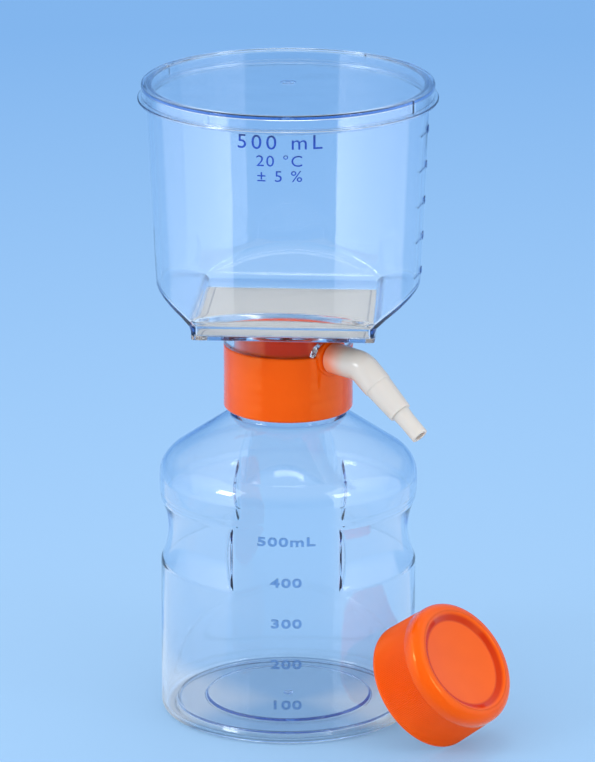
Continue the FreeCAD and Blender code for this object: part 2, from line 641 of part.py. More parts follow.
turned(connector, "connector_outlet", [
    ("0", "0"),
    ("outlet_end", "0"),
    ("outlet_end", "outlet_radius_end"),
    ("outlet_end - outlet_grip", "outlet_radius_end"),
    ("outlet_second", "outlet_radius_second"),
    ("outlet_second", "outlet_radius_narrow"),
    ("outlet_first", "outlet_radius_first"),
    ("outlet_first", "outlet_radius_upper"),
    ("0", "connector_neck"),
], sketch=outlet_sketch("connector_outlet_outline"), axis="H_Axis")
turned(connector, "connector_passage", [
    (f"-{SPARE}", "0"),
    ("connector_root + connector_bore", "0", "connector_bore"),
    ("connector_root", "connector_bore"),
    (socket_depth, "connector_bore"),
    (socket_depth, "socket_radius"),
    (f"-{SPARE}", "socket_radius"),
], "PartDesign::Groove", sketch=new_sketch(connector, "connector_passage_outline", "XZ_Plane"),
    axis="H_Axis")
turned(connector, "outlet_passage", [
    ("0", "0"),
    (f"outlet_end + {SPARE}", "0"),
    (f"outlet_end + {SPARE}", "connector_bore"),
    ("0", "connector_bore"),
], "PartDesign::Groove", sketch=outlet_sketch("outlet_passage_outline"), axis="H_Axis")
heading = Rotation(Vector(0, 0, 1), worth("port_direction - 90"))
swivel = Rotation(Vector(1, 0, 0), worth("connector_swivel"))
root = heading.multVec(Vector(worth("port_boss_reach + connector_gap"), 0, worth("port_height")))
connector.Placement = Placement(root, heading.multiply(swivel))

# ---------------------------------------------------------------- storage cap

# Modelled with its lip at zero and its top up, then tipped to lean on the bottle.
cap_body = new_body("cap_body")
plug = "(neck_bore - cap_plug_gap)"
shoulder = "(cap_radius - cap_taper)"
turned(cap_body, "cap_shell", [
    ("0", "cap_ceiling"),
    (f"{plug} - cap_plug_wall", "cap_ceiling"),
    (f"{plug} - cap_plug_wall", "cap_ceiling - cap_plug_length"),
    (plug, "cap_ceiling - cap_plug_length"),
    (plug, "cap_ceiling"),
    ("thread_bore", "cap_ceiling"),
    ("thread_bore", "0"),
    ("cap_radius", "0"),
    (shoulder, "cap_height - cap_shoulder", "cap_shoulder"),
    (f"{shoulder} - cap_shoulder", "cap_height"),
    ("cap_crest", "cap_height"),
    ("cap_dish_radius", "cap_height - cap_dish_depth",
     "-((cap_dish_radius^2 + cap_dish_dip^2) / (2 * cap_dish_dip))"),
    ("0", "cap_height - cap_dish_depth - cap_dish_dip"),
])
cap_thread = thread("cap_thread", "thread_bore", "cap_thread_lift", "cap_turns", -1)
cap = merged("storage_cap", [cap_body, cap_thread])
tilt = math.radians(worth("cap_tilt"))
away = Rotation(Vector(0, 0, 1), worth("cap_direction"))
tipped = Rotation(Vector(0, 1, 0), 90 - worth("cap_tilt"))
reach = worth("bottle_radius + cap_lean_gap") + worth("cap_radius") * math.sin(tilt)
lift = worth("cap_radius") * math.cos(tilt)
cap.Placement = Placement(away.multVec(Vector(reach, 0, lift)), away.multiply(tipped))

# ---------------------------------------------------------------- check and write

SUB_PARTS = [bottle, gasket, adapter, plate, membrane, funnel, lid, connector, cap]

doc.recompute()
faults = [thing.Name for thing in doc.Objects if "Invalid" in thing.State or "Error" in thing.State]
for part in SUB_PARTS:
    if part.Shape.isNull() or not part.Shape.isValid() or len(part.Shape.Solids) != 1:
        faults.append(part.Label)
if faults:
    raise SystemExit(f"these did not build: {faults}")

os.makedirs("parts", exist_ok=True)
for part in SUB_PARTS:
    part.Shape.exportStep(f"parts/{part.Label}.step")
    box = part.Shape.BoundBox
    print(f"{part.Label}: {part.Shape.Volume:.0f} mm3, z {box.ZMin:.2f} to {box.ZMax:.2f}")
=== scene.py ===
import json
import math

import bmesh
import bpy
from mathutils import Matrix, Vector, noise

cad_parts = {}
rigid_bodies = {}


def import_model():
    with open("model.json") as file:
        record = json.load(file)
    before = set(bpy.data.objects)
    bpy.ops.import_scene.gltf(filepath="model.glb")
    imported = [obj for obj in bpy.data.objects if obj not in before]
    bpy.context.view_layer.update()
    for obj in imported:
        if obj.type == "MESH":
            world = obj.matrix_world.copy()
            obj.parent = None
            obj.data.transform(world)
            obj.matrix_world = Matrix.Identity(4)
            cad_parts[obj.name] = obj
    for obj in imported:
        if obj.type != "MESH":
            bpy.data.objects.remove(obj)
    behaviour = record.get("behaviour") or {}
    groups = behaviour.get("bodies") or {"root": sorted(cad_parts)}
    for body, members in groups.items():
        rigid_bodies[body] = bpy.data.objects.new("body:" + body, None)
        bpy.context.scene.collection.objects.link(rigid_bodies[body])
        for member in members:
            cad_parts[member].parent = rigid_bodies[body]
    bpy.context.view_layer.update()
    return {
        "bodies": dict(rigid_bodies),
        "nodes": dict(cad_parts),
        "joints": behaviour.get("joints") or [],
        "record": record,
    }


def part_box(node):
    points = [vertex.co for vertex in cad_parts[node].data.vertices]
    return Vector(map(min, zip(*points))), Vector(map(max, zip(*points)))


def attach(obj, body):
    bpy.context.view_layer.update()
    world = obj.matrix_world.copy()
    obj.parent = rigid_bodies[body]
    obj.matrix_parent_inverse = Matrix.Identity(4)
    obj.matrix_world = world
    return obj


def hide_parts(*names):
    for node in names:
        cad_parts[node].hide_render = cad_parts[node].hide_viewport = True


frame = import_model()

# The looks of a vacuum filtration unit: a clear funnel with a lid and a white membrane, on an
# orange neck adapter with a milky hose connector, screwed on a clear bottle. The bottle's own
# orange cap leans beside it. Sizes are in millimetres and turned into metres as a piece is drawn.

MM = 0.001


def corners(node):
    """Lowest and highest corner of a CAD node in millimetres."""
    low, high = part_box(node)
    return low / MM, high / MM


# ---------------------------------------------------------------- sizes

HAIR = 0.02             # the gap kept between faces that would lie on each other
HOLD = 0.25             # how far beside a rounded corner a flat face is held flat
NUB_INNER = 1.2         # where the moulding nub under the bottle starts to fall, and where it ends
NUB_OUTER = 1.7

# receiver bottle
BODY_RADIUS = 47.0
BOTTLE_WALL = 1.4
BULGE = 0.4             # the upper body stands out by this much
BULGE_START = 82.5
BULGE_RAMP = 2.0
HEEL = 2.5
FOOT_RING = 3.0
FOOT_BEVEL = 1.2
PUSH_UP = 3.2
BASE_STEP = 1.0
BASE_STEP_RADIUS = 30.0
SHOULDER_START = 90.0
SHOULDER_ROUNDING = 10.0
SHOULDER_SLOPE = math.radians(34.5)
GRIP_LOW = 57.5
GRIP_HIGH = 81.5
GRIP_DEPTH = 2.8
PANEL_HALF = math.radians(25.25)
GRIP_WALL = 0.8         # slope of a grip's end wall
GRIP_WALL_SHIFT = 0.5   # how far the wall's foot is shifted on the inside
PANEL_CROWDING = 0.85   # how closely the columns of faces crowd at a panel's edge
BOTTLE_COLUMNS = 432
GRIP_EDGE = 0.3         # rounding of a grip's edges
GRIP_ROW = 1.2          # the longest face up a grip, and the longest at its upper and lower edge
GRIP_EDGE_ROW = 0.3
GRIP_BAND = 5.0         # how far above and below a grip its rounding may reach
GRIP_SKIN = 6.0         # only what lies this near the outside is pressed in
BOTTLE_TURN = math.radians(2.5)
NECK_RADIUS = 20.6
NECK_BORE = 18.2
LIP = corners("receiver_bottle")[1].z

# threads
PITCH = 4.0
THREAD_DEPTH = 1.3
THREAD_GAP = 0.4
THREAD_ROOT = 0.4       # how deep a ridge is rooted in its wall
THREAD_HALF = 1.2       # half the height of a ridge
THREAD_FADE = 12        # a ridge fades out over a twelfth of its length at each end
THREAD_START = LIP - 11.0
NECK_TURNS = 1.25
BORE_TURNS = 0.75
BORE = NECK_RADIUS + THREAD_DEPTH + THREAD_GAP

# adapter
SKIRT_RADIUS = 23.8
SKIRT_LOW = corners("threaded_adapter")[0].z
SKIRT_HIGH = 140.1
SINK_DEPTH = 0.10       # half the depth of the skirt's soft sink marks
THREAD_SINK = 0.02      # how far the thread shows through the skirt
HUB_RADIUS = 19.9
CHAMBER = 17.3
SEAT = corners("neck_gasket")[1].z
PORT_HEIGHT = 139.1
PORT_HEADING = math.radians(-44.0)
PORT_BOSS = 7.0
PORT_BOSS_START = 18.3
PORT_BOSS_REACH = 24.4
PORT_CLEARANCE = 0.3    # the gap that the plate's socket leaves round the port's boss
NIPPLE = 3.2
NIPPLE_LENGTH = 8.6
PORT_BORE = 2.0

# support plate
PLATE_LOW = corners("threaded_adapter")[1].z
PLATE_TOP = corners("support_plate")[1].z
PLATE_HALF = corners("support_plate")[1].x
SOCKET_BORE = 20.05
SOCKET_OUTER = 23.65
DRAIN_HALF = 29.6
DRAIN_DEPTH = 0.8
DRAIN_PITCH = 4.0
DRAIN_MARGIN = 6.0
DRAIN_RIB = 0.9
DRAIN_RIBS = 6          # ribs each side of the middle one
SPOUT_LOW = corners("support_plate")[0].z
SPOUT_RADIUS = 3.4
SPOUT_TIP = 2.7
SPOUT_BORE = 2.0

# membrane
MEMBRANE_HALF = corners("filter_membrane")[1].x
MEMBRANE_GAP = 0.15
MEMBRANE_SEAL = 2.6     # how far the pressed seal line lies inside the sheet's edge
MEMBRANE_SEAL_HALF = 0.35
MEMBRANE_LOW, MEMBRANE_TOP = (corner.z for corner in corners("filter_membrane"))

# funnel
FUNNEL_WALL = 1.6
FOOT_TOP = PLATE_TOP + 3.6
FACE_SLOPE = math.radians(27.0)
BARREL_LOW = 47.8
BARREL_HIGH = 51.35
RIM = corners("funnel")[1].z
FLANGE_RADIUS = corners("funnel")[1].x
FLANGE_TOP = 232.5
FLANGE_THICKNESS = 1.0
ARCH_ROUNDING = 3.5     # the blend between the barrel and its arched faces
ARCH_HEIGHT = 13.0      # over this height the rows of faces crowd towards the foot
ARCH_ROWS = 44
ARCH_CROWDING = 1.3
WALL_START = 168.0      # the barrel's rows above that
WALL_STEP = 6.3
WALL_ROWS = 11

# lid
LID_LOW, LID_HIGH = (corner.z for corner in corners("funnel_lid"))
LID_BORE = 51.65
LID_RADIUS = 53.15
LID_LEDGE = 3.2
LID_LEDGE_HEIGHT = 0.4
VENT_RIB = 1.2          # half the width of a vent rib
VENT_RIB_PROUD = 0.25
VENT_RIB_CROWDING = 0.85
VENT_RIB_HEADING = math.radians(61.0)

# hose connector
CONNECTOR_GAP = 0.1
CONNECTOR_FIT = 0.05    # the play between the nipple and the connector's socket
CONNECTOR_RADIUS = 5.75
CONNECTOR_NECK = 5.55
CONNECTOR_ROOT = 14.7
CONNECTOR_BEND = math.radians(39.4)
CONNECTOR_SWIVEL = math.radians(11.0)
CONNECTOR_CURVE = 6.5   # radius of the bend's centre line
CONNECTOR_BORE = 2.1
OUTLET_FIRST = 10.0
OUTLET_SECOND = 23.0
OUTLET_GRIP = 8.0
OUTLET_END = 34.3

# storage cap
CAP_RADIUS = 24.4
CAP_TAPER = 0.65
CAP_HEIGHT = 23.4
CAP_SHOULDER = 3.9
CAP_CREST = 19.3
CAP_DISH = 16.8
CAP_DISH_DEPTH = 2.0
CAP_DISH_DIP = 0.9
CAP_TOP = 2.2
CAP_THREAD_LIFT = 5.3
CAP_PLUG = 18.1
CAP_PLUG_WALL = 1.2
CAP_PLUG_LENGTH = 3.0
CAP_RIBS = 218
CAP_RIB_COLUMNS = 4     # columns of faces for each rib
CAP_RIB_DEPTH = 0.4
CAP_RIB_LOW = 1.2
CAP_RIB_HIGH = 16.5
CAP_RIB_FADE = 0.5
CAP_TILT = math.radians(36.5)
CAP_HEADING = math.radians(-33.3)
CAP_LEAN_GAP = 0.05
CAP_REACH = BODY_RADIUS + CAP_LEAN_GAP + CAP_RADIUS * math.sin(CAP_TILT)
CAP_PLACE = (
    Matrix.Rotation(CAP_HEADING, 4, "Z")
    @ Matrix.Translation((CAP_REACH, 0, CAP_RADIUS * math.cos(CAP_TILT)))
    @ Matrix.Rotation(math.pi / 2 - CAP_TILT, 4, "Y")
)


# ---------------------------------------------------------------- shaping helpers

def soft_least(first, second, blend):
    """The smaller of two numbers, with the change from one to the other rounded off."""
    near = max(blend - abs(first - second), 0) / blend
    return min(first, second) - near * near * blend / 4


def soft_most(first, second, blend):
    """The larger of two numbers, with the change from one to the other rounded off."""
    return -soft_least(-first, -second, blend)


def within(value, low, high, fade):
    """0 outside two limits and 1 inside them, with a smooth rise at each."""
    share = min(max(min(value - low, high - value) / fade, 0), 1)
    return share * share * (3 - 2 * share)


def rounded(outline, ring=False, turn=math.radians(15)):
    """An outline's points with each corner turned into an arc. A corner is (across, up, radius)."""
    points = []
    count = len(outline)
    for index, (across, up, radius) in enumerate(outline):
        corner = Vector((across, up))
        before = Vector(outline[index - 1][:2]) - corner
        after = Vector(outline[(index + 1) % count][:2]) - corner
        end = index in (0, count - 1) and not ring
        if end or radius == 0:
            points.append(corner)
            continue
        bend = math.pi - before.angle(after)
        if bend < 0.01:
            points.append(corner)
            continue
        reach = radius * math.tan(bend / 2)
        start = corner + before.normalized() * reach
        if before.length > reach + 2 * HOLD:
            points.append(start + before.normalized() * HOLD)
        middle = (before.normalized() + after.normalized()).normalized()
        centre = corner + middle * reach / math.sin(bend / 2)
        side = math.copysign(1, after.cross(before))
        steps = max(2, math.ceil(bend / turn))
        for step in range(steps + 1):
            arm = (start - centre).copy()
            arm.rotate(Matrix.Rotation(side * bend * step / steps, 2))
            points.append(centre + arm)
        if after.length > reach + 2 * HOLD:
            points.append(corner + after.normalized() * (reach + HOLD))
    return points


def divided(points, low, high, longest):
    """The points with the parts of their runs between two heights cut into short pieces."""
    result = [points[0]]
    for start, finish in zip(points, points[1:]):
        rise = finish.y - start.y
        if abs(rise) > longest:
            first, last = sorted((min(max((mark - start.y) / rise, 0), 1) for mark in (low, high)))
            steps = math.ceil((last - first) * abs(rise) / longest)
            shares = [first + (last - first) * step / steps for step in range(steps + 1)] if steps else []
            result += [start.lerp(finish, share) for share in shares if 0.001 < share < 0.999]
        result.append(finish)
    return result


def at(radius, azimuth, height):
    """A point round the Z axis."""
    return Vector((radius * math.cos(azimuth), radius * math.sin(azimuth), height))


def draw_skin(mesh, rows, place, segments, ring=False):
    """Adds a closed skin to a bmesh: a unit tube whose rings are drawn to their places."""
    line = [mesh.verts.new((1, 0, index)) for index in range(len(rows))]
    edges = [mesh.edges.new(pair) for pair in zip(line, line[1:])]
    if ring:
        edges.append(mesh.edges.new((line[-1], line[0])))
    old = set(mesh.verts) - set(line)
    bmesh.ops.spin(mesh, geom=line + edges, cent=(0, 0, 0), axis=(0, 0, 1),
                   angle=2 * math.pi, steps=segments, use_merge=True)
    fresh = [vert for vert in mesh.verts if vert not in old]
    for vert in fresh:
        azimuth = math.atan2(vert.co.y, vert.co.x)
        vert.co = place(rows[round(vert.co.z)], azimuth) * MM
    bmesh.ops.remove_doubles(mesh, verts=fresh, dist=MM * 0.001)
    bmesh.ops.recalc_face_normals(mesh, faces=mesh.faces)


def shown(name, data):
    """A new object of the scene."""
    thing = bpy.data.objects.new(name, data)
    bpy.context.scene.collection.objects.link(thing)
    return thing


def shaped(name, mesh, material):
    """Turns a bmesh into an object with its material."""
    data = bpy.data.meshes.new(name)
    mesh.to_mesh(data)
    mesh.free()
    data.materials.append(material)
    return shown(name, data)


def finished(name, mesh, material, body, sharp=35):
    """Turns a bmesh into a smooth piece with its material, on its body."""
    piece = shaped(name, mesh, material)
    piece.data.shade_smooth()
    piece.data.set_sharp_from_angle(angle=math.radians(sharp))
    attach(piece, body)
    return piece


def skin(name, rows, place, segments, material, body, ring=False, sharp=35):
    """One closed skin as a piece."""
    mesh = bmesh.new()
    draw_skin(mesh, rows, place, segments, ring)
    return finished(name, mesh, material, body, sharp)


def helix_ridge(name, radius, side, turns, material, body, start=THREAD_START, frame=Matrix()):
    """A screw thread's ridge that fades out at both ends, in a frame of its own."""
    root = radius - side * THREAD_ROOT
    steps = 60

    def place(row, azimuth):
        turn, size = row
        out = side * THREAD_DEPTH * size * (0.5 + 0.5 * math.cos(azimuth))
        up = THREAD_HALF * size * math.sin(azimuth)
        return frame @ at(root + out, turn, start + PITCH * turn / (2 * math.pi) + up)

    rows = []
    for step in range(round(turns * steps) + 1):
        share = step / (turns * steps)
        rows.append((2 * math.pi * step / steps, min(1, THREAD_FADE * share, THREAD_FADE * (1 - share))))
    return skin(name, rows, place, 10, material, body)


# ---------------------------------------------------------------- materials

def feed(tree, socket, value):
    """Links a socket to another node's output, or sets it to a plain number, vector or colour."""
    if isinstance(value, bpy.types.NodeSocket):
        tree.links.new(value, socket)
    elif socket.type == "RGBA":
        socket.default_value = (*value, 1)
    else:
        socket.default_value = value


def fill(tree, node, **values):
    """Feeds a node's inputs, whose names have an underscore for each space."""
    for label, value in values.items():
        feed(tree, node.inputs[label.replace("_", " ")], value)


def node_of(tree, kind, **settings):
    """A shader node with its settings."""
    node = tree.nodes.new(kind)
    for key, setting in settings.items():
        setattr(node, key, setting)
    return node


def joined(tree, kind, values, result, **settings):
    """A node's result, from values for its first inputs in their order."""
    node = node_of(tree, kind, **settings)
    for socket, value in zip(node.inputs, values):
        feed(tree, socket, value)
    return node.outputs[result]


def reckoned(tree, operation, *values):
    """The result of a Math node."""
    return joined(tree, "ShaderNodeMath", values, "Value", operation=operation)


def vector_reckoned(tree, operation, *values):
    """The result of a Vector Math node: a number for a length or a dot product, or else a vector."""
    result = "Value" if operation in ("LENGTH", "DOT_PRODUCT") else "Vector"
    return joined(tree, "ShaderNodeVectorMath", values, result, operation=operation)


def part_of(tree, vector, axis):
    """A vector's part along X, Y or Z."""
    return joined(tree, "ShaderNodeSeparateXYZ", [vector], axis)


def object_place(tree):
    """The point's place in the object's own coordinates."""
    return node_of(tree, "ShaderNodeTexCoord").outputs["Object"]


def ripple_group():
    """Long soft ripples and fine grain of a moulded surface, as a height and a mask."""
    group = bpy.data.node_groups.new("moulded_surface", "ShaderNodeTree")
    face = group.interface
    for label, value in (("Ripple Scale", 40.0), ("Grain Scale", 900.0)):
        face.new_socket(label, in_out="INPUT", socket_type="NodeSocketFloat").default_value = value
    face.new_socket("Ripple", in_out="OUTPUT", socket_type="NodeSocketFloat")
    face.new_socket("Grain", in_out="OUTPUT", socket_type="NodeSocketFloat")
    inputs = node_of(group, "NodeGroupInput")
    outputs = node_of(group, "NodeGroupOutput")
    place = object_place(group)
    for label, detail in (("Ripple", 1.0), ("Grain", 3.0)):
        wave = node_of(group, "ShaderNodeTexNoise")
        fill(group, wave, Vector=place, Scale=inputs.outputs[f"{label} Scale"], Detail=detail)
        group.links.new(wave.outputs["Fac"], outputs.inputs[label])
    return group


MOULDED = ripple_group()


def blank_material(name, **scales):
    """A material, its tree and Principled shader, and the moulded surface's ripple and grain."""
    material = bpy.data.materials.new(name)
    material.use_nodes = True
    tree = material.node_tree
    surface = node_of(tree, "ShaderNodeGroup", node_tree=MOULDED)
    fill(tree, surface, **scales)
    shader = tree.nodes["Principled BSDF"]
    return material, tree, shader, surface.outputs["Ripple"], surface.outputs["Grain"]


def bumped(tree, height, strength, distance):
    """A normal from a height."""
    bump = node_of(tree, "ShaderNodeBump")
    fill(tree, bump, Strength=strength, Distance=distance, Height=height)
    return bump.outputs["Normal"]


def mixed(tree, share, first, second):
    """A colour mix steered by a socket."""
    mix = node_of(tree, "ShaderNodeMix", data_type="RGBA")
    fill(tree, mix, Factor=share, A=first, B=second)
    return mix.outputs["Result"]


def ranged(tree, value, low, high, to_low, to_high, kind="LINEAR"):
    """A value carried from one range to another."""
    ramp = node_of(tree, "ShaderNodeMapRange", interpolation_type=kind)
    fill(tree, ramp, Value=value, From_Min=low, From_Max=high, To_Min=to_low, To_Max=to_high)
    return ramp.outputs["Result"]


def product(tree, *factors):
    """The product of several values."""
    result = factors[0]
    for factor in factors[1:]:
        result = reckoned(tree, "MULTIPLY", result, factor)
    return result


def clear_plastic(name, tint, absorbed, density, roughness=(0.015, 0.04), shine=1.0):
    """Clear moulded polystyrene: it bends light, and darkens a little where it is seen edge on."""
    material, tree, shader, ripple, grain = blank_material(name, Ripple_Scale=45.0, Grain_Scale=500.0)
    fill(tree, shader,
         Base_Color=mixed(tree, ripple, tint, [min(1, 1.02 * part) for part in tint]),
         Roughness=ranged(tree, grain, 0.35, 0.7, *roughness),
         Normal=bumped(tree, ripple, 0.25, 0.0004),
         Transmission_Weight=1.0, Specular_Tint=(shine, shine, shine), IOR=1.58)
    volume = node_of(tree, "ShaderNodeVolumeAbsorption")
    fill(tree, volume, Color=absorbed, Density=density)
    fill(tree, tree.nodes["Material Output"], Volume=volume.outputs["Volume"])
    return material


def orange_plastic(name, roughness):
    """Opaque orange closure plastic with a faint flow mottle."""
    material, tree, shader, ripple, grain = blank_material(name, Ripple_Scale=90.0, Grain_Scale=1500.0)
    fill(tree, shader,
         Base_Color=mixed(tree, ripple, (0.80, 0.085, 0.0), (0.88, 0.105, 0.0)),
         Roughness=ranged(tree, grain, 0.3, 0.75, *roughness),
         Normal=bumped(tree, ripple, 0.12, 0.0005),
         IOR=1.5, Specular_IOR_Level=0.8, Specular_Tint=(1.0, 0.5, 0.15),
         Subsurface_Weight=0.12, Subsurface_Radius=(1.0, 0.25, 0.05), Subsurface_Scale=0.002)
    return material


def paint_deeper_shade(material, deep, vector, limits):
    """Paints shade into a material's colour between limits of radius and height: a deeper colour where
    little light reaches.
    """
    tree = material.node_tree
    flat = vector_reckoned(tree, "MULTIPLY", vector, (1, 1, 0))
    values = {"radius": vector_reckoned(tree, "LENGTH", flat), "height": part_of(tree, vector, "Z")}
    mask = product(tree, *(
        ranged(tree, values[measure], low * MM, high * MM, to_low, to_high)
        for measure, low, high, to_low, to_high in limits
    ))
    shader = tree.nodes["Principled BSDF"]
    plain = shader.inputs["Base Color"].links[0].from_socket
    # painted shade: the plain colour gives way to the deeper one inside the mask
    fill(tree, shader, Base_Color=mixed(tree, mask, plain, deep))


def paint_recess_shade(material):
    """Paints shade into the orange on the wall round the cap's dish: a darker red where the recess is
    shadowed.
    """
    tree = material.node_tree
    centred = node_of(tree, "ShaderNodeMapping", vector_type="TEXTURE")
    fill(tree, centred, Vector=object_place(tree), Location=CAP_PLACE.translation * MM,
         Rotation=CAP_PLACE.to_euler())
    # painted shade: darker red on the recess wall round the dish
    paint_deeper_shade(material, (0.58, 0.02, 0.0), centred.outputs["Vector"], (
        ("radius", CAP_DISH - 0.8, CAP_DISH, 0.0, 1.0),
        ("radius", CAP_CREST - 0.4, CAP_CREST + 0.2, 1.0, 0.0),
        ("height", CAP_HEIGHT - 0.9, CAP_HEIGHT - 0.3, 1.0, 0.0),
        ("height", CAP_HEIGHT - 5.0, CAP_HEIGHT - 4.5, 0.0, 1.0),
    ))


def paint_hub_glow_and_shade(material):
    """Paints a deeper red into the orange on the adapter's hub, inside the plate's clear socket: painted
    shade under the plate, with the glow of light scattered through the translucent orange.
    """
    # painted glow and shade: a deep saturated red on the hub under the plate
    paint_deeper_shade(material, (0.97, 0.025, 0.0), object_place(material.node_tree), (
        ("radius", HUB_RADIUS + 0.5, HUB_RADIUS + 1.5, 1.0, 0.0),
        ("height", SKIRT_HIGH - 0.2, SKIRT_HIGH + 1.0, 0.0, 1.0),
    ))


def milky_plastic(name):
    """Translucent white plastic, with a painted orange glow near its root where the orange nipple inside
    it shows through.
    """
    material, tree, shader, ripple, grain = blank_material(name, Ripple_Scale=160.0)
    along = vector_reckoned(tree, "DOT_PRODUCT", object_place(tree), at(1, PORT_HEADING, 0))
    start = (PORT_BOSS_REACH + 1.0) * MM
    finish = (PORT_BOSS_REACH + 1.3 * NIPPLE_LENGTH) * MM
    # painted glow: the orange nipple's light through the plastic, fading along the port
    nipple_glow = ranged(tree, along, start, finish, 1.0, 0.0, "SMOOTHSTEP")
    fill(tree, shader,
         Base_Color=mixed(tree, nipple_glow, (0.63, 0.61, 0.59), (0.88, 0.30, 0.17)),
         Roughness=ranged(tree, grain, 0.3, 0.75, 0.08, 0.18),
         Normal=bumped(tree, ripple, 0.2, 0.0004),
         IOR=1.5, Subsurface_Weight=0.7, Subsurface_Radius=(1.0, 0.8, 0.7), Subsurface_Scale=0.002)
    return material


def membrane_sheet(name):
    """Matt white filter sheet with a pressed seal line inside its left and right edges."""
    material, tree, shader, _, grain = blank_material(name, Grain_Scale=3000.0)
    side = reckoned(tree, "ABSOLUTE", part_of(tree, object_place(tree), "X"))
    line = reckoned(tree, "COMPARE", side, (MEMBRANE_HALF - MEMBRANE_SEAL) * MM, MEMBRANE_SEAL_HALF * MM)
    fill(tree, shader,
         Base_Color=mixed(tree, line, (0.96, 0.93, 0.88), (0.62, 0.60, 0.60)),
         Roughness=0.75, Normal=bumped(tree, grain, 0.3, 0.0001), IOR=1.4,
         Subsurface_Weight=0.2, Subsurface_Radius=(1.0, 1.0, 1.0), Subsurface_Scale=0.001)
    return material


def ink(name):
    """Deep blue print ink with small uneven spots."""
    material, tree, shader, _, grain = blank_material(name, Grain_Scale=1800.0)
    spots = ranged(tree, grain, 0.45, 0.62, 0.0, 1.0)
    fill(tree, shader, Base_Color=mixed(tree, spots, (0.004, 0.05, 0.42), (0.01, 0.09, 0.55)),
         Roughness=0.45)
    return material


def soft_seal(name):
    """Pale soft rubber of the neck gasket."""
    material, tree, shader, _, grain = blank_material(name)
    fill(tree, shader, Base_Color=mixed(tree, grain, (0.42, 0.42, 0.42), (0.56, 0.56, 0.56)),
         Roughness=0.6)
    return material


CLEAR = (0.98, 0.99, 1.0)
CLEAR_BLUE = (0.42, 0.66, 0.92)
bottle_plastic = clear_plastic("clear_bottle", CLEAR, CLEAR_BLUE, 75.0)
funnel_plastic = clear_plastic("clear_funnel", CLEAR, CLEAR_BLUE, 42.0)
lid_plastic = clear_plastic("clear_lid", CLEAR, CLEAR_BLUE, 28.0, shine=0.7)
plate_plastic = clear_plastic("clear_plate", CLEAR, CLEAR_BLUE, 12.0, shine=0.1)
# the moulded marks are the clear plastic made into a dark blue copy: painted shade for the dark look that
# light gives their edges
dark_painted_mark_plastic = clear_plastic("clear_marks", (0.80, 0.88, 0.96), (0.2, 0.45, 0.75), 2200.0, (0.1, 0.25))
collar_plastic = orange_plastic("orange_collar", (0.05, 0.11))
cap_plastic = orange_plastic("orange_cap", (0.09, 0.17))
# painted shade on the cap's recess wall
paint_recess_shade(cap_plastic)
# painted glow and shade on the adapter's hub
paint_hub_glow_and_shade(collar_plastic)
connector_plastic = milky_plastic("milky_connector")
membrane_fibre = membrane_sheet("white_membrane")
print_ink = ink("blue_ink")
gasket_rubber = soft_seal("seal_rubber")


# ---------------------------------------------------------------- receiver bottle

def bottle_outline():
    """The bottle's section: up its outside from the base to the lip, and back down inside."""
    rise = math.tan(SHOULDER_SLOPE)

    def shoulder(inset, neck):
        radius = BODY_RADIUS + BULGE - inset
        rounding = SHOULDER_ROUNDING - inset
        end = radius - rounding * (1 - math.sin(SHOULDER_SLOPE))
        up = SHOULDER_START + rounding * math.cos(SHOULDER_SLOPE)
        corner = up - (radius - end) * rise
        return radius, corner, up + (end - neck) * rise

    def foot(inset):
        inner = BODY_RADIUS - HEEL - FOOT_RING
        shift = 0.6 * inset
        nub = 0.8 * (inset - BOTTLE_WALL / 2)
        return [
            (0, PUSH_UP + inset + nub, 0),
            (NUB_INNER, PUSH_UP + inset + nub, 0.3),
            (NUB_OUTER, PUSH_UP + inset, 0.3),
            (BASE_STEP_RADIUS, PUSH_UP + inset, 0.5),
            (BASE_STEP_RADIUS + BASE_STEP, PUSH_UP - BASE_STEP + inset, 0.5),
            (inner - FOOT_BEVEL + shift, PUSH_UP - BASE_STEP + inset, 0.8),
            (inner + shift, inset, 0.8),
            (BODY_RADIUS - inset, inset, HEEL - 0.6 * inset),
            (BODY_RADIUS - inset, BULGE_START, 3),
            (BODY_RADIUS + BULGE - inset, BULGE_START + BULGE_RAMP, 3),
        ]

    radius, corner, neck = shoulder(0, NECK_RADIUS)
    outside = foot(0) + [
        (radius, corner, SHOULDER_ROUNDING),
        (NECK_RADIUS, neck, 2.5),
        (NECK_RADIUS, LIP - HAIR, 0.7),
    ]
    radius, corner, neck = shoulder(BOTTLE_WALL, NECK_BORE)
    inside = foot(BOTTLE_WALL) + [
        (radius, corner, SHOULDER_ROUNDING - BOTTLE_WALL),
        (NECK_BORE, neck, 3.0),
        (NECK_BORE, LIP - HAIR, 0.7),
    ]
    points = divided(rounded(outside + inside[::-1]), GRIP_LOW - 2, GRIP_HIGH + 1, GRIP_ROW)
    for edge in (GRIP_LOW, GRIP_HIGH):
        points = divided(points, edge - 3 * GRIP_EDGE_ROW, edge + 3 * GRIP_EDGE_ROW, GRIP_EDGE_ROW)
    return points


def crowded(turn):
    """A turn from the bottle's side, drawn towards the edges of its two label panels."""
    edge = math.pi / 2 - PANEL_HALF
    marks = (-edge, edge, math.pi - edge, math.pi + edge, 2 * math.pi - edge)
    turn = (turn + edge) % (2 * math.pi) - edge
    for start, finish in zip(marks, marks[1:]):
        if start <= turn <= finish:
            span = finish - start
            share = (turn - start) / span
            return turn - PANEL_CROWDING * math.sin(2 * math.pi * share) * span / (2 * math.pi)
    return turn


def aligned(aside, width):
    """Draws the columns beside a panel together so that the same ones mark a grip's wall at any width."""
    full = GRIP_DEPTH / GRIP_WALL
    if 0 < aside < full:
        return aside * width / full
    if full <= aside < 3 * full:
        return width + (aside - full) * (3 * full - width) / (2 * full)
    return aside


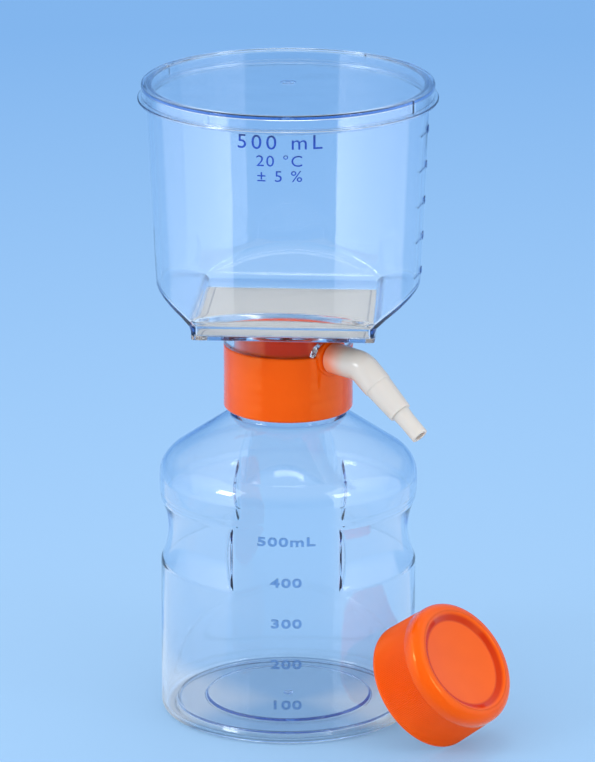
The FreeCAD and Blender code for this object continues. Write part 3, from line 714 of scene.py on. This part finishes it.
def bottle_place(row, azimuth):
    """The bottle's point, with the finger grips pressed in between its two label panels."""
    radius, height = row
    middle = (GRIP_LOW + GRIP_HIGH) / 2
    half = (GRIP_HIGH - GRIP_LOW) / 2
    bow = (half**2 + GRIP_DEPTH**2) / (2 * GRIP_DEPTH)
    off = min(abs(height - middle), bow)
    depth = soft_most(GRIP_DEPTH - bow + math.sqrt(bow**2 - off**2), 0, GRIP_EDGE)
    turn = crowded(azimuth - BOTTLE_TURN)
    aside = (math.acos(min(1, abs(math.sin(turn)))) - PANEL_HALF) * BODY_RADIUS
    if radius < BODY_RADIUS - BOTTLE_WALL / 2:
        aside += GRIP_WALL_SHIFT
    width = max(depth, GRIP_EDGE) / GRIP_WALL
    moved = aligned(aside, width)
    turn += math.copysign((moved - aside) / BODY_RADIUS, -math.sin(2 * turn) * (moved - aside))
    if radius < BODY_RADIUS - GRIP_SKIN or abs(height - middle) > half + GRIP_BAND:
        return at(radius, turn + BOTTLE_TURN, height)
    edge = GRIP_EDGE / max(depth, 2 * GRIP_EDGE)
    share = soft_least(1, soft_most(moved / width, 0, edge), edge)
    return at(radius - depth * share, turn + BOTTLE_TURN, height)


bottle = skin("bottle_shell", bottle_outline(), bottle_place, BOTTLE_COLUMNS, bottle_plastic,
              "bottle")
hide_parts("receiver_bottle")
helix_ridge("neck_thread", NECK_RADIUS, 1, NECK_TURNS, bottle_plastic, "bottle")


def lettering(name, words, radius, centre, height, cap, width, thickness, material, body,
              stretch=1.0, spacing=1.0):
    """Raised words bent round the axis: centre is their azimuth, cap the height of a capital."""
    curve = bpy.data.curves.new(name, "FONT")
    curve.body = words
    curve.align_x = "CENTER"
    curve.align_y = "CENTER"
    curve.size = cap / 0.7
    curve.space_character = spacing
    curve.offset = width
    curve.extrude = thickness / 2
    curve.resolution_u = 4
    writing = shown(name, curve)
    bpy.context.view_layer.update()
    flat = bpy.data.meshes.new_from_object(writing.evaluated_get(bpy.context.evaluated_depsgraph_get()))
    bpy.data.objects.remove(writing)
    mesh = bmesh.new()
    mesh.from_mesh(flat)
    bmesh.ops.remove_doubles(mesh, verts=mesh.verts, dist=0.0001)
    bmesh.ops.recalc_face_normals(mesh, faces=mesh.faces)
    for vert in mesh.verts:
        out = radius + thickness / 2 + vert.co.z
        turn = centre + vert.co.x * stretch / radius
        vert.co = at(out, turn, height + vert.co.y) * MM
    return finished(name, mesh, material, body, 30)


FRONT = math.radians(-90)
LABEL = FRONT + BOTTLE_TURN
MARK_SPACING = 15.6
for count in range(1, 6):
    words = f"{100 * count}mL" if count == 5 else f"{100 * count}"
    lettering(f"bottle_mark_{100 * count}", words, BODY_RADIUS + HAIR, LABEL, MARK_SPACING * count,
              cap=3.2, width=0.1, thickness=0.35, material=dark_painted_mark_plastic, body="bottle",
              stretch=1.55, spacing=1.12)


# ---------------------------------------------------------------- threaded adapter

def wavy(row, azimuth):
    """The adapter's point, with soft sink marks of the thread on its skirt."""
    radius, height = row
    if radius > SKIRT_RADIUS - 0.5:
        dip = noise.noise(Vector((2.2 * math.cos(azimuth), 2.2 * math.sin(azimuth), height / 7)))
        thread = math.cos(2 * math.pi * (height - THREAD_START) / PITCH - azimuth)
        marked = within(height, SKIRT_LOW + 3, SKIRT_HIGH - 5, 3)
        radius += SINK_DEPTH * (dip - 1) - THREAD_SINK * marked * (1 + thread)
    return at(radius, azimuth, height)


def adapter_outline():
    """The adapter's closed section: skirt, hub, chamber and screw bore."""
    points = rounded([
        (BORE, SKIRT_LOW, 0.3),
        (SKIRT_RADIUS, SKIRT_LOW, 0.9),
        (SKIRT_RADIUS, SKIRT_HIGH, 0.9),
        (HUB_RADIUS, SKIRT_HIGH, 0.5),
        (HUB_RADIUS, PLATE_LOW - HAIR, 0.3),
        (CHAMBER, PLATE_LOW - HAIR, 0.3),
        (CHAMBER, SEAT + HAIR, 0.3),
        (BORE, SEAT + HAIR, 0.3),
    ], ring=True)
    return divided(points, SKIRT_LOW + 0.5, SKIRT_HIGH - 0.5, 0.8)


def along_port(row, azimuth):
    """The place of a skin turned about the side port's axis: row is (radius, distance)."""
    radius, reach = row
    aside = radius * math.cos(azimuth)
    up = PORT_HEIGHT + radius * math.sin(azimuth)
    forward = Vector((math.cos(PORT_HEADING), math.sin(PORT_HEADING), 0))
    left = Vector((-forward.y, forward.x, 0))
    return forward * reach + left * aside + Vector((0, 0, up))


adapter = skin("adapter_collar", adapter_outline(), wavy, 256, collar_plastic,
               "filter_head", ring=True)
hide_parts("threaded_adapter")
port = skin("adapter_port", rounded([
    (PORT_BORE, PORT_BOSS_START, 0),
    (PORT_BOSS, PORT_BOSS_START, 0),
    (PORT_BOSS, PORT_BOSS_REACH, 0.5),
    (NIPPLE, PORT_BOSS_REACH, 0.3),
    (NIPPLE, PORT_BOSS_REACH + NIPPLE_LENGTH, 0.3),
    (PORT_BORE, PORT_BOSS_REACH + NIPPLE_LENGTH, 0.2),
], ring=True), along_port, 64, collar_plastic, "filter_head", ring=True)
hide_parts("threaded_adapter")
helix_ridge("adapter_thread", BORE, -1, BORE_TURNS, collar_plastic, "filter_head")


# ---------------------------------------------------------------- square shapes

SQUARE_POWER = 60       # how crisp a square's corners are
SQUARE_CROWDING = 0.75  # how closely the columns of faces crowd at a square's corners


def squared(azimuth):
    """An azimuth drawn towards the nearest corner of a square, where more points are needed."""
    return azimuth + SQUARE_CROWDING / 4 * math.sin(4 * azimuth)


def facing(azimuth):
    """How far out a square's side lies: its half side over its radius in this direction."""
    across = abs(math.cos(azimuth)) ** SQUARE_POWER
    along = abs(math.sin(azimuth)) ** SQUARE_POWER
    return (across + along) ** (1 / SQUARE_POWER)


# ---------------------------------------------------------------- support plate

def plate_place(row, azimuth):
    """The plate's point: row is (size, height, square or round)."""
    size, height, square = row
    turn = squared(azimuth)
    radius = size / facing(turn) if square else size
    if SOCKET_BORE - 1 < size < SOCKET_OUTER + 1 and height < PLATE_LOW - 1 and not square:
        aside = radius * math.sin(turn - PORT_HEADING)
        gap = PORT_BOSS + PORT_CLEARANCE
        if abs(aside) < gap and math.cos(turn - PORT_HEADING) > 0:
            height = max(height, PORT_HEIGHT + math.sqrt(gap**2 - aside**2))
    return at(radius, turn, height)


def plate_rows():
    """The plate's closed section, from the drip spout's bore out over the top and back below."""
    def part(points, square):
        return [(point.x, point.y, square) for point in points]

    slab = rounded([
        (DRAIN_HALF, PLATE_TOP - DRAIN_DEPTH, 0.1),
        (DRAIN_HALF, PLATE_TOP, 0.1),
        (PLATE_HALF, PLATE_TOP, 0.25),
        (PLATE_HALF, PLATE_LOW, 0.25),
        (SOCKET_OUTER + 6, PLATE_LOW, 0),
    ])
    below = rounded([
        (SOCKET_OUTER, PLATE_LOW, 0),
        (SOCKET_OUTER, SKIRT_HIGH - HAIR, 0.1),
        (SOCKET_BORE, SKIRT_HIGH - HAIR, 0.1),
        (SOCKET_BORE, PLATE_LOW, 0.3),
        (SPOUT_RADIUS, PLATE_LOW, 0.5),
        (SPOUT_TIP, SPOUT_LOW, 0.2),
        (SPOUT_BORE, SPOUT_LOW, 0.2),
        (SPOUT_BORE, PLATE_TOP - DRAIN_DEPTH, 0),
    ])
    return part(slab, True) + part(below, False)


plate = skin("support_base", plate_rows(), plate_place, 256, plate_plastic,
             "filter_head", ring=True)
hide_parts("support_plate")


def drain_ribs():
    """The low ribs that hold the membrane up over the drained field."""
    mesh = bmesh.new()
    length = 2 * (DRAIN_HALF - DRAIN_MARGIN)
    tall = DRAIN_DEPTH - HAIR
    for count in range(-DRAIN_RIBS, DRAIN_RIBS + 1):
        half = (length / 2 - SPOUT_RADIUS) / 2
        away = half + SPOUT_RADIUS
        spans = [(0, length)] if count else [(-away, 2 * half), (away, 2 * half)]
        for middle, reach in spans:
            place = Matrix.Translation(Vector((count * DRAIN_PITCH, middle, PLATE_TOP - tall / 2)) * MM)
            size = Matrix.Diagonal((DRAIN_RIB * MM, reach * MM, tall * MM, 1))
            bmesh.ops.create_cube(mesh, size=1, matrix=place @ size)
    bmesh.ops.bevel(mesh, geom=mesh.edges[:], offset=0.1 * MM, affect="EDGES", segments=2,
                    profile=0.5, material=-1)
    return finished("drain_ribs", mesh, plate_plastic, "filter_head")


ribs = drain_ribs()
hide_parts("support_plate")


# ---------------------------------------------------------------- filter membrane

def membrane():
    """A thin sheet with slight waves, from a fine grid given a thickness."""
    mesh = bmesh.new()
    bmesh.ops.create_grid(mesh, x_segments=60, y_segments=60, size=(MEMBRANE_HALF - 0.1) * MM)
    room = MEMBRANE_TOP - MEMBRANE_LOW
    for vert in mesh.verts:
        wave = noise.noise(Vector((vert.co.x, vert.co.y, 0)) / (18 * MM))
        vert.co.z = (MEMBRANE_TOP - 0.35 * room + 0.3 * room * wave) * MM
    grown = bmesh.ops.extrude_face_region(mesh, geom=mesh.faces[:])["geom"]
    for vert in grown:
        if isinstance(vert, bmesh.types.BMVert):
            vert.co.z = (MEMBRANE_LOW - HAIR) * MM
    bmesh.ops.recalc_face_normals(mesh, faces=mesh.faces)
    return finished("membrane_sheet", mesh, membrane_fibre, "filter_head", 60)


sheet = membrane()
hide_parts("filter_membrane")


# ---------------------------------------------------------------- funnel

def barrel(height):
    """The barrel's outer radius at a height."""
    share = (height - FOOT_TOP) / (RIM - FOOT_TOP)
    return BARREL_LOW + (BARREL_HIGH - BARREL_LOW) * max(share, 0)


def funnel_place(row, azimuth):
    """The funnel's point: a round barrel cut by four sloping faces, above a square foot.
    The row is (radius, height, inset of the wall, inset of the foot)."""
    radius, height, inset, foot_inset = row
    turn = squared(azimuth)
    shift = inset * math.tan(math.pi / 4 - FACE_SLOPE / 2)
    above = soft_most(height - FOOT_TOP - shift, 0, 1.2)
    face = PLATE_HALF - foot_inset + above / math.tan(FACE_SLOPE)
    blend = min(ARCH_ROUNDING, 0.6 + 1.2 * above)
    return at(soft_least(radius, face / facing(turn), blend), turn, height)


def funnel_rows():
    """The funnel's closed section, up the outside and down the inside."""
    low = PLATE_TOP + HAIR
    top = RIM - HAIR
    rebate = MEMBRANE_TOP + HAIR
    arch = [FOOT_TOP + ARCH_HEIGHT * (row / ARCH_ROWS) ** ARCH_CROWDING for row in range(ARCH_ROWS + 1)]
    walls = [WALL_START + WALL_STEP * row for row in range(WALL_ROWS)]
    outside = [(BARREL_LOW, low, 0, 0.25), (BARREL_LOW, low + 0.25, 0, 0)]
    outside += [(barrel(height), height, 0, 0) for height in [low + 1.5, *arch, *walls]]
    flange = rounded([
        (barrel(FLANGE_TOP - 2), FLANGE_TOP - 2, 0),
        (barrel(FLANGE_TOP - 2), FLANGE_TOP - FLANGE_THICKNESS, 0.4),
        (FLANGE_RADIUS, FLANGE_TOP - FLANGE_THICKNESS, 0.4),
        (FLANGE_RADIUS, FLANGE_TOP, 0.4),
        (barrel(FLANGE_TOP), FLANGE_TOP, 0.3),
        (BARREL_HIGH, top, 0.5),
        (BARREL_HIGH - FUNNEL_WALL, top, 0.5),
        (barrel(FLANGE_TOP) - FUNNEL_WALL, FLANGE_TOP - 2, 0),
    ])
    outside += [(point.x, point.y, 0, 0) for point in flange]
    wall = FUNNEL_WALL
    step = PLATE_HALF - MEMBRANE_HALF - MEMBRANE_GAP
    inside = [(barrel(height) - wall, height, wall, wall) for height in [*walls[::-1], *arch[::-1]]]
    inside += [
        (BARREL_LOW - wall, rebate + 1.5, wall, wall),
        (BARREL_LOW - wall, rebate, wall, wall),
        (BARREL_LOW - wall, rebate, wall, step),
        (BARREL_LOW - wall, low, wall, step),
    ]
    return outside + inside


funnel = skin("funnel_shell", funnel_rows(), funnel_place, 256, funnel_plastic,
              "filter_head", ring=True)
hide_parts("funnel")

# words, height, height of a capital, spacing
PRINT_LINES = (("500 mL", 227.6, 5.2, 1.3), ("20 °C", 220.8, 4.0, 1.15), ("± 5 %", 215.2, 4.0, 1.15))
for count, (words, height, cap, spacing) in enumerate(PRINT_LINES, start=1):
    lettering(f"volume_print_{count}", words, barrel(height) + HAIR, FRONT, height, cap,
              width=0.0, thickness=0.06, material=print_ink, body="filter_head",
              stretch=1.1, spacing=spacing)


SCALE_TURN = math.radians(-12.0)
SCALE_SWEEP = math.radians(8.0)
SCALE_LINE = 0.28       # radius of a scale line's ridge
NUMERAL_TURN = SCALE_TURN + math.radians(9.5)
SCALE_LOW = 168.4
SCALE_STEP = 13.25


def scale_line(height):
    """One moulded line of the funnel's side scale: a fine ridge bent round the barrel."""
    mesh = bmesh.new()
    place = Matrix.Rotation(SCALE_TURN - SCALE_SWEEP / 2, 4, "Z")
    place @= Matrix.Translation(Vector((barrel(height) + HAIR, 0, height)) * MM)
    place @= Matrix.Rotation(math.pi / 2, 4, "X")
    ring = bmesh.ops.create_circle(mesh, segments=10, radius=SCALE_LINE * MM, matrix=place)["verts"]
    edges = list({edge for vert in ring for edge in vert.link_edges})
    bmesh.ops.spin(mesh, geom=ring + edges, cent=(0, 0, 0), axis=(0, 0, 1), angle=SCALE_SWEEP, steps=16)
    bmesh.ops.holes_fill(mesh, edges=mesh.edges[:], sides=12)
    bmesh.ops.recalc_face_normals(mesh, faces=mesh.faces)
    return mesh


for count in range(1, 6):
    height = SCALE_LOW + SCALE_STEP * (count - 1)
    finished(f"funnel_scale_line_{count}", scale_line(height), funnel_plastic,
             "filter_head")
    lettering(f"funnel_scale_{100 * count}", f"{100 * count}", barrel(height) + 2 * HAIR, NUMERAL_TURN,
              height, cap=2.2, width=0.04, thickness=0.25, material=dark_painted_mark_plastic, body="filter_head")


# ---------------------------------------------------------------- funnel lid

def lid_place(row, azimuth):
    """The lid's point, with four vent ribs down its skirt and a small gate mark in the middle."""
    radius, height = row
    turn = azimuth - VENT_RIB_CROWDING / 4 * math.sin(4 * (azimuth - VENT_RIB_HEADING))
    if radius > LID_BORE + 0.6:
        nearest = round((turn - VENT_RIB_HEADING) / (math.pi / 2)) * math.pi / 2
        aside = abs(turn - VENT_RIB_HEADING - nearest) * radius
        if aside < VENT_RIB:
            radius += VENT_RIB_PROUD * (0.5 + 0.5 * math.cos(math.pi * aside / VENT_RIB))
    return at(radius, turn, height)


LID_PLATE_TOP = LID_HIGH - LID_LEDGE_HEIGHT
lid = skin("lid_shell", rounded([
    (0, LID_PLATE_TOP - 0.25, 0),
    (0.8, LID_PLATE_TOP - 0.25, 0.1),
    (1.0, LID_PLATE_TOP, 0.1),
    (2.1, LID_PLATE_TOP, 0.1),
    (2.3, LID_PLATE_TOP - 0.25, 0.1),
    (2.6, LID_PLATE_TOP - 0.25, 0.1),
    (2.8, LID_PLATE_TOP, 0.1),
    (LID_RADIUS - LID_LEDGE - LID_LEDGE_HEIGHT, LID_PLATE_TOP, 0.5),
    (LID_RADIUS - LID_LEDGE, LID_HIGH, 0.5),
    (LID_RADIUS, LID_HIGH, 0.8),
    (LID_RADIUS, LID_LOW, 0.3),
    (LID_BORE, LID_LOW, 0.3),
    (LID_BORE, RIM + HAIR, 0.6),
    (0, RIM + HAIR, 0),
]), lid_place, 288, lid_plastic, "lid")
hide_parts("funnel_lid")


# ---------------------------------------------------------------- hose connector

def connector_path(distance):
    """Centre and direction of the connector's line at a distance from its socket's face."""
    straight = CONNECTOR_ROOT - CONNECTOR_CURVE * math.tan(CONNECTOR_BEND / 2)
    arc = CONNECTOR_CURVE * CONNECTOR_BEND
    turn = min(max(distance - straight, 0) / CONNECTOR_CURVE, CONNECTOR_BEND)
    centre = Vector((min(distance, straight), 0, 0))
    centre += CONNECTOR_CURVE * Vector((math.sin(turn), 0, math.cos(turn) - 1))
    heading = Vector((math.cos(turn), 0, -math.sin(turn)))
    centre += heading * max(distance - straight - arc, 0)
    return centre, heading


CONNECTOR_PLACE = (
    Matrix.Rotation(PORT_HEADING, 4, "Z")
    @ Matrix.Translation((PORT_BOSS_REACH + CONNECTOR_GAP, 0, PORT_HEIGHT))
    @ Matrix.Rotation(CONNECTOR_SWIVEL, 4, "X")
)


def connector_place(row, azimuth):
    """The connector's point: row is (radius, distance along its bent line)."""
    radius, distance = row
    centre, heading = connector_path(distance)
    up = Vector((-heading.z, 0, heading.x))
    side = Vector((0, 1, 0))
    point = centre + radius * (math.cos(azimuth) * side + math.sin(azimuth) * up)
    return CONNECTOR_PLACE @ point


bend_at = CONNECTOR_ROOT - CONNECTOR_CURVE * (2 * math.tan(CONNECTOR_BEND / 2) - CONNECTOR_BEND)
first = bend_at + OUTLET_FIRST
second = bend_at + OUTLET_SECOND
tip = bend_at + OUTLET_END
connector_outline = rounded([
    (NIPPLE + CONNECTOR_FIT, 0, 0.2),
    (CONNECTOR_RADIUS, 0, 0.5),
    (CONNECTOR_NECK, CONNECTOR_ROOT - 4, 0),
    (CONNECTOR_NECK, CONNECTOR_ROOT + 4, 0),
    (5.45, first - 0.3, 0.15),
    (5.2, first, 0.15),
    (4.35, second - 0.2, 0.3),
    (3.5, second, 0.2),
    (3.2, tip - OUTLET_GRIP, 0),
    (3.2, tip, 0.35),
    (CONNECTOR_BORE, tip, 0.3),
    (CONNECTOR_BORE, NIPPLE_LENGTH + 0.4, 0.2),
    (NIPPLE + CONNECTOR_FIT, NIPPLE_LENGTH + 0.4, 0.2),
], ring=True)
connector = skin("connector_elbow", divided(connector_outline, 8, 22, 0.7), connector_place, 72,
                 connector_plastic, "connector", ring=True)
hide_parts("hose_connector")


# ---------------------------------------------------------------- storage cap

def cap_place(row, azimuth):
    """The leaning cap's point, with fine ribs round its side."""
    radius, height = row
    if radius > CAP_RADIUS - 1.5 and 0.5 < height < CAP_HEIGHT - CAP_SHOULDER:
        ribbed = within(height, CAP_RIB_LOW - CAP_RIB_FADE, CAP_RIB_HIGH + CAP_RIB_FADE, CAP_RIB_FADE)
        radius -= CAP_RIB_DEPTH * ribbed * (0.5 - 0.5 * math.cos(CAP_RIBS * azimuth))
    return CAP_PLACE @ at(radius, azimuth, height)


def cap_outline():
    """The cap's section, from the middle of its ceiling out over the lip to the dish."""
    shoulder = CAP_RADIUS - CAP_TAPER
    ceiling = CAP_HEIGHT - CAP_DISH_DEPTH - CAP_DISH_DIP - CAP_TOP
    side = [
        (0, ceiling, 0),
        (CAP_PLUG - CAP_PLUG_WALL, ceiling, 0.3),
        (CAP_PLUG - CAP_PLUG_WALL, ceiling - CAP_PLUG_LENGTH, 0.3),
        (CAP_PLUG, ceiling - CAP_PLUG_LENGTH, 0.3),
        (CAP_PLUG, ceiling, 0.3),
        (BORE, ceiling, 0.5),
        (BORE, 0, 0.4),
        (CAP_RADIUS, 0, 0.4),
        (CAP_RADIUS - 0.03, CAP_RIB_LOW - CAP_RIB_FADE, 0),
        (CAP_RADIUS - 0.04, CAP_RIB_LOW, 0),
        (CAP_RADIUS - 0.5, CAP_RIB_HIGH, 0),
        (CAP_RADIUS - 0.52, CAP_RIB_HIGH + CAP_RIB_FADE, 0),
        (shoulder, CAP_HEIGHT, CAP_SHOULDER),
        (CAP_CREST, CAP_HEIGHT, 0.9),
        (CAP_DISH, CAP_HEIGHT - CAP_DISH_DEPTH, 0.6),
    ]
    points = rounded(side + [(0, CAP_HEIGHT - CAP_DISH_DEPTH - CAP_DISH_DIP, 0)])
    dished = points[:-1]
    start = dished[-1]
    steps = 12
    for step in range(1, steps + 1):
        share = step / steps
        dip = (1 - (1 - share) ** 2) * (start.y - CAP_HEIGHT + CAP_DISH_DEPTH + CAP_DISH_DIP)
        dished.append(Vector((start.x * (1 - share), start.y - dip)))
    return dished


cap = skin("cap_shell", cap_outline(), cap_place, CAP_RIBS * CAP_RIB_COLUMNS, cap_plastic,
           "bottle", sharp=50)
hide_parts("storage_cap")
cap_thread = helix_ridge("cap_thread", BORE, -1, BORE_TURNS, cap_plastic, "bottle",
                         CAP_THREAD_LIFT, CAP_PLACE)
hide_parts("storage_cap")


# ---------------------------------------------------------------- gasket

gasket = frame["nodes"]["neck_gasket"]
gasket.data.materials.clear()
gasket.data.materials.append(gasket_rubber)


# ---------------------------------------------------------------- floor, lights and camera

# this section is in metres
PALE_BLUE = (0.34, 0.57, 0.87)
# the darker blue of the floor outside its painted pool of light, and of the backdrop low down
FAR_BLUE = (0.20, 0.42, 0.78)
GLOSS_BLUE = (0.92, 0.96, 1.0)  # the floor beside the object, where gloss shows it
SKY_BLUE = (0.80, 0.90, 1.0)
PALE_GREY = (0.66, 0.68, 0.70)  # the floor's colour in the light that it throws back on the object
FLOOR_GLOW = 0.45               # the share of the floor's look that doesn't depend on the lamps
PANEL_REACH = 0.30              # how far the side panels stand from the middle
PANEL_FRONT = -0.33
PANEL_BACK = 0.14
PANEL_HEIGHT = 0.56
PANEL_MIDDLE = 0.26
LIGHT_FROM = (-0.42, -0.62, 0.66)


def background_ray(tree):
    """1 for what the eye sees straight, in glass or in gloss, and 0 for the light on the object."""
    path = node_of(tree, "ShaderNodeLightPath").outputs
    seen = path["Is Camera Ray"]
    for kind in ("Is Glossy Ray", "Is Transmission Ray"):
        seen = reckoned(tree, "MAXIMUM", seen, path[kind])
    return product(tree, seen, reckoned(tree, "LESS_THAN", path["Diffuse Depth"], 0.5))


def blended(tree, share, first, second, output):
    """Feeds two shaders to an output, blended by a share."""
    shaders = [shader.outputs[0] for shader in (first, second)]
    fill(tree, output, Surface=joined(tree, "ShaderNodeMixShader", [share, *shaders], "Shader"))


def floor():
    """A wide plain pale floor with a painted pool of light round the object, partly lit from within, and
    paler at the sides where gloss shows it.
    """
    mesh = bmesh.new()
    bmesh.ops.create_circle(mesh, cap_ends=True, segments=96, radius=4.0)
    material = bpy.data.materials.new("pale_floor")
    material.use_nodes = True
    tree = material.node_tree
    shader = tree.nodes["Principled BSDF"]
    place = object_place(tree)
    # painted pool of light: paler near the object, darker blue further out
    colour = mixed(tree, ranged(tree, vector_reckoned(tree, "LENGTH", place), 0.15, 1.1, 0.0, 1.0),
                   PALE_BLUE, FAR_BLUE)
    seen = background_ray(tree)
    fill(tree, shader, Base_Color=mixed(tree, seen, PALE_GREY, colour), Roughness=0.28, IOR=1.2)
    aside = vector_reckoned(tree, "ABSOLUTE", place)
    wedge = vector_reckoned(tree, "DOT_PRODUCT", aside, (1, -0.95, 0))
    shine = product(
        tree,
        ranged(tree, wedge, 0.0, 0.02, 0.0, 1.0),
        ranged(tree, part_of(tree, aside, "X"), PANEL_REACH - 0.01, PANEL_REACH, 1.0, 0.0),
        node_of(tree, "ShaderNodeLightPath").outputs["Is Glossy Ray"],
    )
    glow = node_of(tree, "ShaderNodeEmission")
    fill(tree, glow, Color=mixed(tree, shine, colour, GLOSS_BLUE))
    blended(tree, product(tree, seen, FLOOR_GLOW), shader, glow, tree.nodes["Material Output"])
    ground = shaped("floor", mesh, material)


def lamp(name, place, aim, size, power):
    """A soft rectangular lamp."""
    data = bpy.data.lights.new(name, "AREA")
    data.shape = "RECTANGLE"
    data.size, data.size_y = size
    data.energy = power
    light = shown(name, data)
    light.location = place
    light.rotation_mode = "QUATERNION"
    light.rotation_quaternion = (Vector(aim) - Vector(place)).to_track_quat("-Z", "Y")
    light.visible_camera = False
    return light


def side_panel(name, side, power, least):
    """A tall soft panel beside the object: it only shows in reflections, and fades to back and foot."""
    middle = (PANEL_FRONT + PANEL_BACK) / 2
    panel = lamp(name, (PANEL_REACH * side, middle, PANEL_MIDDLE), (0, middle, PANEL_MIDDLE),
                 (PANEL_BACK - PANEL_FRONT, PANEL_HEIGHT), power)
    panel.visible_diffuse = False
    panel.data.use_nodes = True
    tree = panel.data.node_tree
    depth = node_of(tree, "ShaderNodeLightPath").outputs["Glossy Depth"]
    place = node_of(tree, "ShaderNodeNewGeometry").outputs["Position"]
    fill(tree, tree.nodes["Emission"], Strength=product(
        tree,
        reckoned(tree, "GREATER_THAN", depth, 0.5),
        ranged(tree, part_of(tree, place, "Y"), PANEL_FRONT, PANEL_BACK, 1.0, least),
        ranged(tree, part_of(tree, place, "Z"), 0.0, 0.06, 0.3, 1.0),
    ))


def studio():
    """A soft even light all round, with a backdrop that the eye, metal and glass see instead."""
    world = bpy.data.worlds.new("studio")
    bpy.context.scene.world = world
    world.use_nodes = True
    tree = world.node_tree
    heading = node_of(tree, "ShaderNodeTexCoord").outputs["Generated"]
    towards = vector_reckoned(tree, "DOT_PRODUCT", heading, LIGHT_FROM)
    light = tree.nodes["Background"]
    fill(tree, light, Color=(0.99, 0.99, 0.98), Strength=ranged(tree, towards, -0.35, 0.7, 0.55, 1.4))
    rise = ranged(tree, part_of(tree, heading, "Z"), 0.25, 0.8, 0.0, 1.0)
    backdrop = node_of(tree, "ShaderNodeBackground")
    fill(tree, backdrop, Color=mixed(tree, rise, FAR_BLUE, SKY_BLUE))
    blended(tree, background_ray(tree), light, backdrop, tree.nodes["World Output"])


floor()
side_panel("left_panel", -1, 1.3, 0.15)
side_panel("right_panel", 1, 1.0, 0.4)
lamp("left_key", (-1.2, -0.7, 0.9), (0, 0, 0.12), (0.4, 0.4), 4.0)
lamp("right_fill", (1.2, -0.8, 0.9), (0, 0, 0.12), (0.4, 0.4), 2.0)
lamp("top_soft", (0, 0.3, 1.6), (0, 0, 0.1), (0.4, 0.4), 2.0).visible_glossy = False
studio()

CAMERA_REACH = 2.0
CAMERA_HEIGHT = 0.7239
CAMERA_TURN = math.radians(3.552)
CAMERA_PITCH = math.radians(16.673)
CAMERA_SIDE = math.radians(-0.097)
camera_data = bpy.data.cameras.new("camera")
camera_data.lens = 269.1
camera_data.sensor_width = 36.0
camera = shown("camera", camera_data)
camera.location = (
    CAMERA_REACH * math.sin(CAMERA_TURN),
    -CAMERA_REACH * math.cos(CAMERA_TURN),
    CAMERA_HEIGHT,
)
camera.rotation_euler = (math.pi / 2 - CAMERA_PITCH, 0, CAMERA_TURN + CAMERA_SIDE)
bpy.context.scene.camera = camera

scene = bpy.context.scene
scene.view_settings.view_transform = "Standard"
scene.cycles.max_bounces = 36
scene.cycles.transmission_bounces = 36
scene.cycles.glossy_bounces = 36
